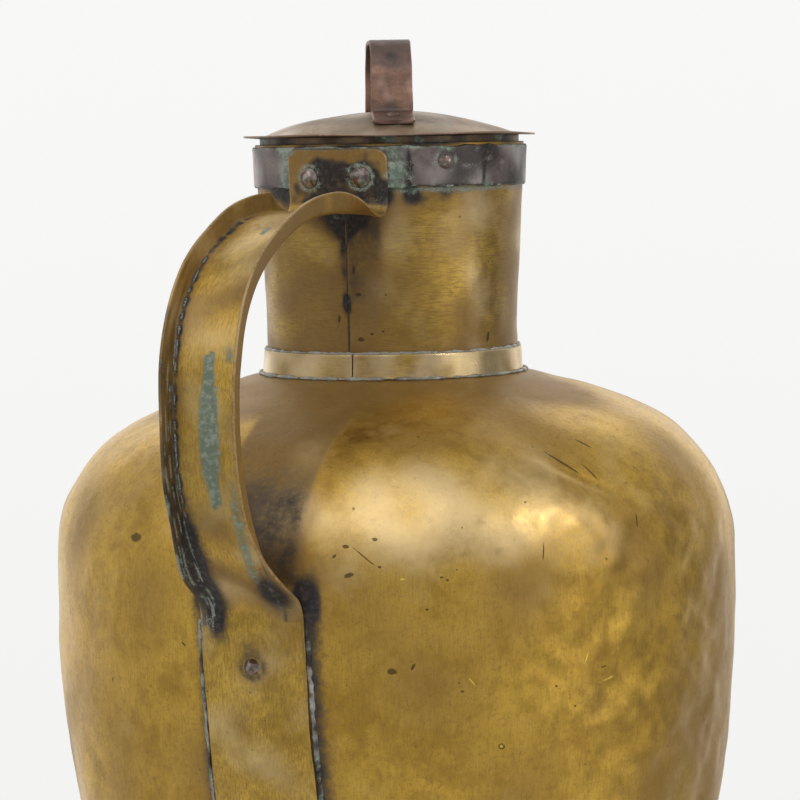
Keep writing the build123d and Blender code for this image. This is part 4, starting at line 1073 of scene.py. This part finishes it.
def make_rivets():
    neck_lean = math.degrees(math.atan(NECK_FLARE))
    tab_out = neck_radius(TAB_RIVET_Z) + BAND_SHEET + TAB_GAP + STRAP_SHEET
    band_out = neck_radius(BAND_RIVET_Z) + BAND_SHEET + LAP_SHEET
    lid_top = foot_underside_z(LID_RIVET_OUT) + LID_STRAP_SHEET / math.cos(math.radians(LID_FOOT_DROP))
    tab_grip = STRAP_SHEET + TAB_GAP + BAND_SHEET + NECK_SHEET + 0.25
    band_grip = LAP_SHEET + BAND_SHEET + NECK_SHEET - 0.05
    body_grip = STRAP_SHEET + STRAP_GAP + BODY_SHEET + 0.25
    lid_grip = LID_STRAP_SHEET + LID_FOOT_RISE + LID_SHEET + 0.3
    # Name, verdigris, seed, sizes as rivet_part takes them and seats as plane_at does.
    for name, green, seed, sizes, seats in (
        ("handle_neck_rivets", 0.34, 101, (4.4, 2.4, 2.0, tab_grip, 3.4, 1.0),
         [(side * TAB_RIVET_AZIMUTH, tab_out, TAB_RIVET_Z, neck_lean) for side in (-1, 1)]),
        ("rim_band_rivet", 0.30, 111, (3.5, 2.0, 2.0, band_grip, 0.0, 0.0),
         [(BAND_RIVET_AZIMUTH, band_out, BAND_RIVET_Z, neck_lean)]),
        ("handle_body_rivets", 0.08, 121, (3.6, 2.8, 2.0, body_grip, 3.2, 1.0),
         [body_seat(height) for height in BODY_RIVET_HEIGHTS]),
        ("lid_handle_rivets", 0.05, 131, (3.2, 1.3, 1.6, lid_grip, 2.6, 0.8),
         [(LID_TURN + turn, LID_RIVET_OUT, lid_top, LID_FOOT_DROP - 90) for turn in (0, 180)]),
    ):
        part = joined([rivet_part(plane_at(*seat), *sizes, seed + 3 * k) for k, seat in enumerate(seats)])
        wave = partial(waves, part[0])
        field = wave(5, 141)
        add_piece(
            name, part, rivet_copper, weld=0.003, soot=0.30 + 0.18 * field, tan=0.3 + 0.1 * field,
            bright=0.35 + 0.25 * wave(4, 142), green=green + 0.15 * wave(4, 143),
            pale=green * 0.5 + 0.12 * wave(3, 144))


# ---- lid
def dome_curve(z, count):
    """Face of the lid's dome from the brim to the crown, one Bezier curve."""
    t = np.linspace(0, 1, count)[:, None]
    shares = ((1, 0), (0.80, 0.42), (0.46, 1), (0, 1))
    p = [np.array([LID_DOME_RADIUS * r, z + LID_DOME_HEIGHT * up]) for r, up in shares]
    return (1 - t) ** 3 * p[0] + 3 * (1 - t) ** 2 * t * p[1] + 3 * (1 - t) * t**2 * p[2] + t**3 * p[3]


def dome_z(r):
    curve = dome_curve(LID_BRIM_Z + LID_SHEET, 400)[::-1]
    return float(np.interp(r, curve[:, 0], curve[:, 1]))


LID_FOOT_IN = LID_LOOP_HALF + 2.0
LID_FOOT_SLOPE = (dome_z(LID_FOOT_IN) - dome_z(LID_FOOT_OUT)) / (LID_FOOT_OUT - LID_FOOT_IN)
LID_FOOT_DROP = math.degrees(math.atan(LID_FOOT_SLOPE))


def foot_underside_z(r):
    """Height of the underside of the lid strap's feet, which lie on the dome."""
    middle = (LID_FOOT_IN + LID_FOOT_OUT) / 2
    return dome_z(middle) + LID_FOOT_RISE + (middle - r) * LID_FOOT_SLOPE


def lid_push(points):
    """Small dents in the dome, calm under the strap's feet, and an uneven brim."""
    seats = sum(bell(abs(turn_from(points, LID_TURN + turn)), 0, 40) for turn in (0, 180))
    on_brim = ease(axis_distance(points), 57, 64)
    dents = 0.22 * (1 + waves(points, 46, 151)) * (1 - 0.9 * np.clip(seats, 0, 1))
    return 0.26 * waves(points, 60, 152) * on_brim - dents * (1 - on_brim)


def make_lid():
    top, brim_r = LID_BRIM_Z + LID_SHEET, LID_RADIUS - LID_SHEET / 2
    curve = np.concatenate([
        [[brim_r, top]], line_points((brim_r, top), (LID_DOME_RADIUS, top), 0.9), dome_curve(top, 60)[1:],
    ])
    curve[-1, 0] = 0.0
    part = turned(curve, LID_SHEET, full_turn(330), lid_push, to_axis=True)
    points = part[0]
    r, seat, wave = axis_distance(points), abs(turn_from(points, LID_TURN)), partial(waves, points)
    under = points[:, 2] < np.interp(r, curve[::-1, 0], curve[::-1, 1]) - LID_SHEET * 0.6
    near_foot = bell(r, 40, 11) * np.maximum(bell(seat, 0, 22), bell(seat, 180, 22))
    add_piece(
        "lid_cover", part, lid_copper, weld=0.02,
        soot=0.10 + 0.30 * near_foot + 0.10 * wave(30, 153) + 0.35 * under,
        tan=0.35 + 0.20 * wave(40, 154) + 0.25 * under,
        bright=0.16 + 0.20 * wave(34, 155) + 0.25 * bell(r, 60, 8),
        green=0.10 + 0.10 * wave(20, 156) + 0.18 * under, pale=0.14 * wave(9, 157),
    )


def make_lid_sleeve():
    def push(points):
        return np.minimum(0.05 * waves(points, 30, 158) - 0.05, 0)

    top = LID_BRIM_Z - 0.02
    curve = ring_curve(lambda z: np.full_like(z, SLEEVE_RADIUS), SLEEVE_BOTTOM_Z, top, SLEEVE_SHEET, 1.2)
    part = turned(curve, SLEEVE_SHEET, full_turn(240), push)
    wave = partial(waves, part[0])
    add_piece("lid_sleeve", part, lid_copper, soot=0.50 + 0.12 * wave(20, 159), tan=0.5 + 0.2 * wave(20, 160),
              green=0.2 + 0.2 * wave(12, 161))


def lid_handle_grid():
    """Outlines of the lid's strap along its line, the way travelled to each, and the marks of its edges."""
    lift = LID_STRAP_SHEET / 2 / math.cos(math.radians(LID_FOOT_DROP))
    half = [(r, foot_underside_z(r) + lift) for r in (LID_FOOT_OUT, LID_LOOP_HALF)]
    half.append((LID_LOOP_HALF - LID_LOOP_LEAN, LID_LOOP_TOP_Z - LID_STRAP_SHEET / 2))
    radii = [LID_FOOT_BEND, LID_LOOP_CORNER, LID_LOOP_CORNER, LID_FOOT_BEND]
    line = filleted([(-r, z) for r, z in half] + half[::-1], radii, 0.8)
    normal = -headings(line)[1]
    half_sheet, corner = LID_STRAP_SHEET / 2, 2.0
    travel = path_lengths(line)
    half_width = LID_STRAP_WIDTH / 2 - 0.12 + 0.12 * np.sin(travel / 9) + 0.05 * np.sin(travel / 2.7)
    inset = np.clip(np.minimum(travel, travel[-1] - travel), 0, corner)
    half_width -= corner - np.sqrt(np.maximum(corner**2 - (corner - inset) ** 2, 0))
    u = np.linspace(-1, 1, 15)
    across, up = np.tile([1.0, 0.0], (len(u), 1)), np.tile([0.0, 1.0], (len(u), 1))
    rows = []
    for place, out, half_here in zip(line, normal, half_width):
        outline = strip_outline((half_here - half_sheet) * u[:, None] * across, across, up, half_sheet)
        rows.append(np.column_stack([outline[:, 0], place + outline[:, 1:] * out]))
    return np.array(rows), travel, np.tile(strip_round(0 * u, 1, 0 * u, 1), len(line))


def make_lid_handle():
    grid, travel, edge = lid_handle_grid()
    points, faces, edge = grid_part(grid, edge, ends=True)
    lay = np.stack([points[:, 0], np.repeat(travel, grid.shape[1]), np.zeros(len(points))], -1)
    points[:, 1] += 0.10 * waves(points, 22, 171) * (points[:, 2] < 520) * ease(points[:, 2], 498, 504)
    a = math.radians(LID_TURN)
    points = points @ np.array([[math.cos(a), -math.sin(a), 0], [math.sin(a), math.cos(a), 0], [0, 0, 1]]).T
    z, wave = points[:, 2], partial(waves, points)
    foot = ease(z, 499, 496)
    # Painted shade and sheen from its reflections: the top of the loop is darkened with tarnish and soot, and
    # its legs are made paler lower down.
    add_piece(
        "lid_handle", (points, faces, edge), handle_copper, lay, weld=0.001,
        soot=0.02 + 0.22 * ease(z, 512, 522) + 0.24 * foot + 0.10 * wave(12, 172) + 0.3 * bell(z, 499, 1.6),
        tan=0.15 + 0.75 * ease(z, 511, 519) + 0.4 * foot + 0.12 * wave(14, 173),
        bright=0.30 * ease(z, 516, 506) * (1 - foot) + 0.15 * wave(10, 174),
        green=0.12 * foot, pale=0.10 * wave(6, 175),
    )


# ---- camera, light and floor
def new_object(name, data):
    made = bpy.data.objects.new(name, data)
    bpy.context.scene.collection.objects.link(made)
    return made


def add_camera():
    """The camera stands level with the rim of the jug and looks slightly down at it."""
    distance, height, pitch, roll, yaw = 1518.0, 482.0, 4.5, 0.95, math.degrees(6.4 / 3300)
    data = bpy.data.cameras.new("camera")
    data.lens, data.sensor_width = 148.5, 36.0
    data.clip_start, data.clip_end = 0.05, 50.0
    camera = new_object("camera", data)
    a = math.radians(VIEW_AZIMUTH)
    look = Matrix.Translation(Vector((distance * math.sin(a), -distance * math.cos(a), height)) * MM)
    for angle, axis in ((VIEW_AZIMUTH, "Z"), (90 - pitch, "X"), (-yaw, "Y"), (-roll, "Z")):
        look = look @ Matrix.Rotation(math.radians(angle), 4, axis)
    camera.matrix_world = look
    bpy.context.scene.camera = camera


def add_world():
    """White studio. The camera sees it even; the jug's reflections see it darker in front and on one side."""
    world = bpy.data.worlds.new("studio")
    bpy.context.scene.world = world
    t = Tree(world, "Generated")

    def towards(azimuth, *steps):
        """Brightness that depends on how far a direction points to an azimuth."""
        a = math.radians(azimuth)
        return t.ramp(t.vector("DOT_PRODUCT", t.place, (math.sin(a), -math.cos(a), 0.0)), *steps)

    behind_jug = towards(VIEW_AZIMUTH + 180, 0.42, 0.88, 0.45, 1.3)
    strength = t.times(behind_jug, towards(DARK_WALL_AZIMUTH, 0.82, 0.98, 1.0, 0.54))
    lit = t.add("ShaderNodeBackground", {"Color": (1.0, 0.985, 0.96, 1), "Strength": strength})
    height = t.add("ShaderNodeSeparateXYZ", {"Vector": t.place}).outputs["Z"]
    seen = t.nodes["Background"]
    t.put(seen, {"Color": (1.0, 1.0, 0.992, 1), "Strength": t.ramp(height, -0.20, 0.05, 0.895, 0.935)})
    is_seen = t.add("ShaderNodeLightPath").outputs["Is Camera Ray"]
    choice = t.add("ShaderNodeMixShader", {0: is_seen, 1: lit.outputs[0], 2: seen.outputs[0]})
    t.put(t.nodes["World Output"], {"Surface": choice.outputs[0]})


def add_light(name, azimuth, elevation, distance, size, power, colour):
    """Soft rectangular light, unseen by the camera, that faces the middle of the jug. Distances in metres."""
    data = bpy.data.lights.new(name, "AREA")
    data.shape = "RECTANGLE"
    data.size, data.size_y = size
    data.energy = power
    data.color = colour
    light = new_object(name, data)
    a, e = math.radians(azimuth), math.radians(elevation)
    back = Vector((math.sin(a) * math.cos(e), -math.cos(a) * math.cos(e), math.sin(e)))
    light.location = Vector((0, 0, 0.34)) + back * distance
    light.rotation_mode = "QUATERNION"
    light.rotation_quaternion = back.to_track_quat("Z", "Y")
    light.visible_camera = False


def add_floor():
    """Pale round floor that fades out into the white of the studio."""
    material = bpy.data.materials.new("floor")
    t = Tree(material)
    flat = t.vector("MULTIPLY", t.place, (1, 1, 0))
    t.put(t.nodes["Principled BSDF"], {
        "Base Color": t.mix(t.noise(3.0), (0.80, 0.80, 0.79), (0.84, 0.84, 0.83)),
        "Roughness": 0.65, "Alpha": t.ramp(t.vector("LENGTH", flat), 0.85, 0.35),
    })
    radius, drop, steps = 0.9, 0.0004, 96
    a = np.linspace(0, 2 * math.pi, steps, endpoint=False)
    rim = np.stack([radius * np.cos(a), radius * np.sin(a), np.full(steps, -drop)], -1)
    mesh = bpy.data.meshes.new("floor")
    mesh.from_pydata(rim.tolist(), [], [list(range(steps))])
    mesh.materials.append(material)
    floor = new_object("floor", mesh)


for make in (
    make_body, make_neck, make_collar, make_collar_solder, make_band, make_foot, make_base,
    make_strap, make_strap_solder, make_rivets, make_lid, make_lid_sleeve, make_lid_handle,
):
    make()

add_camera()
add_world()
add_floor()
for light in (
    ("key", -5, 50, 1.8, (2.4, 1.6), 10.3, (1.0, 0.98, 1.0)),
    ("window", 84, 4, 1.7, (0.6, 1.0), 2.0, (1.0, 0.97, 0.93)),
    ("left", -62, 8, 1.9, (1.3, 1.3), 1.0, (1, 1, 1)),
    ("lamp", 74, 31, 1.6, (0.30, 0.30), 2.6, (1.0, 0.96, 0.94)),
):
    add_light(*light)
bpy.context.scene.view_settings.view_transform = "Standard"
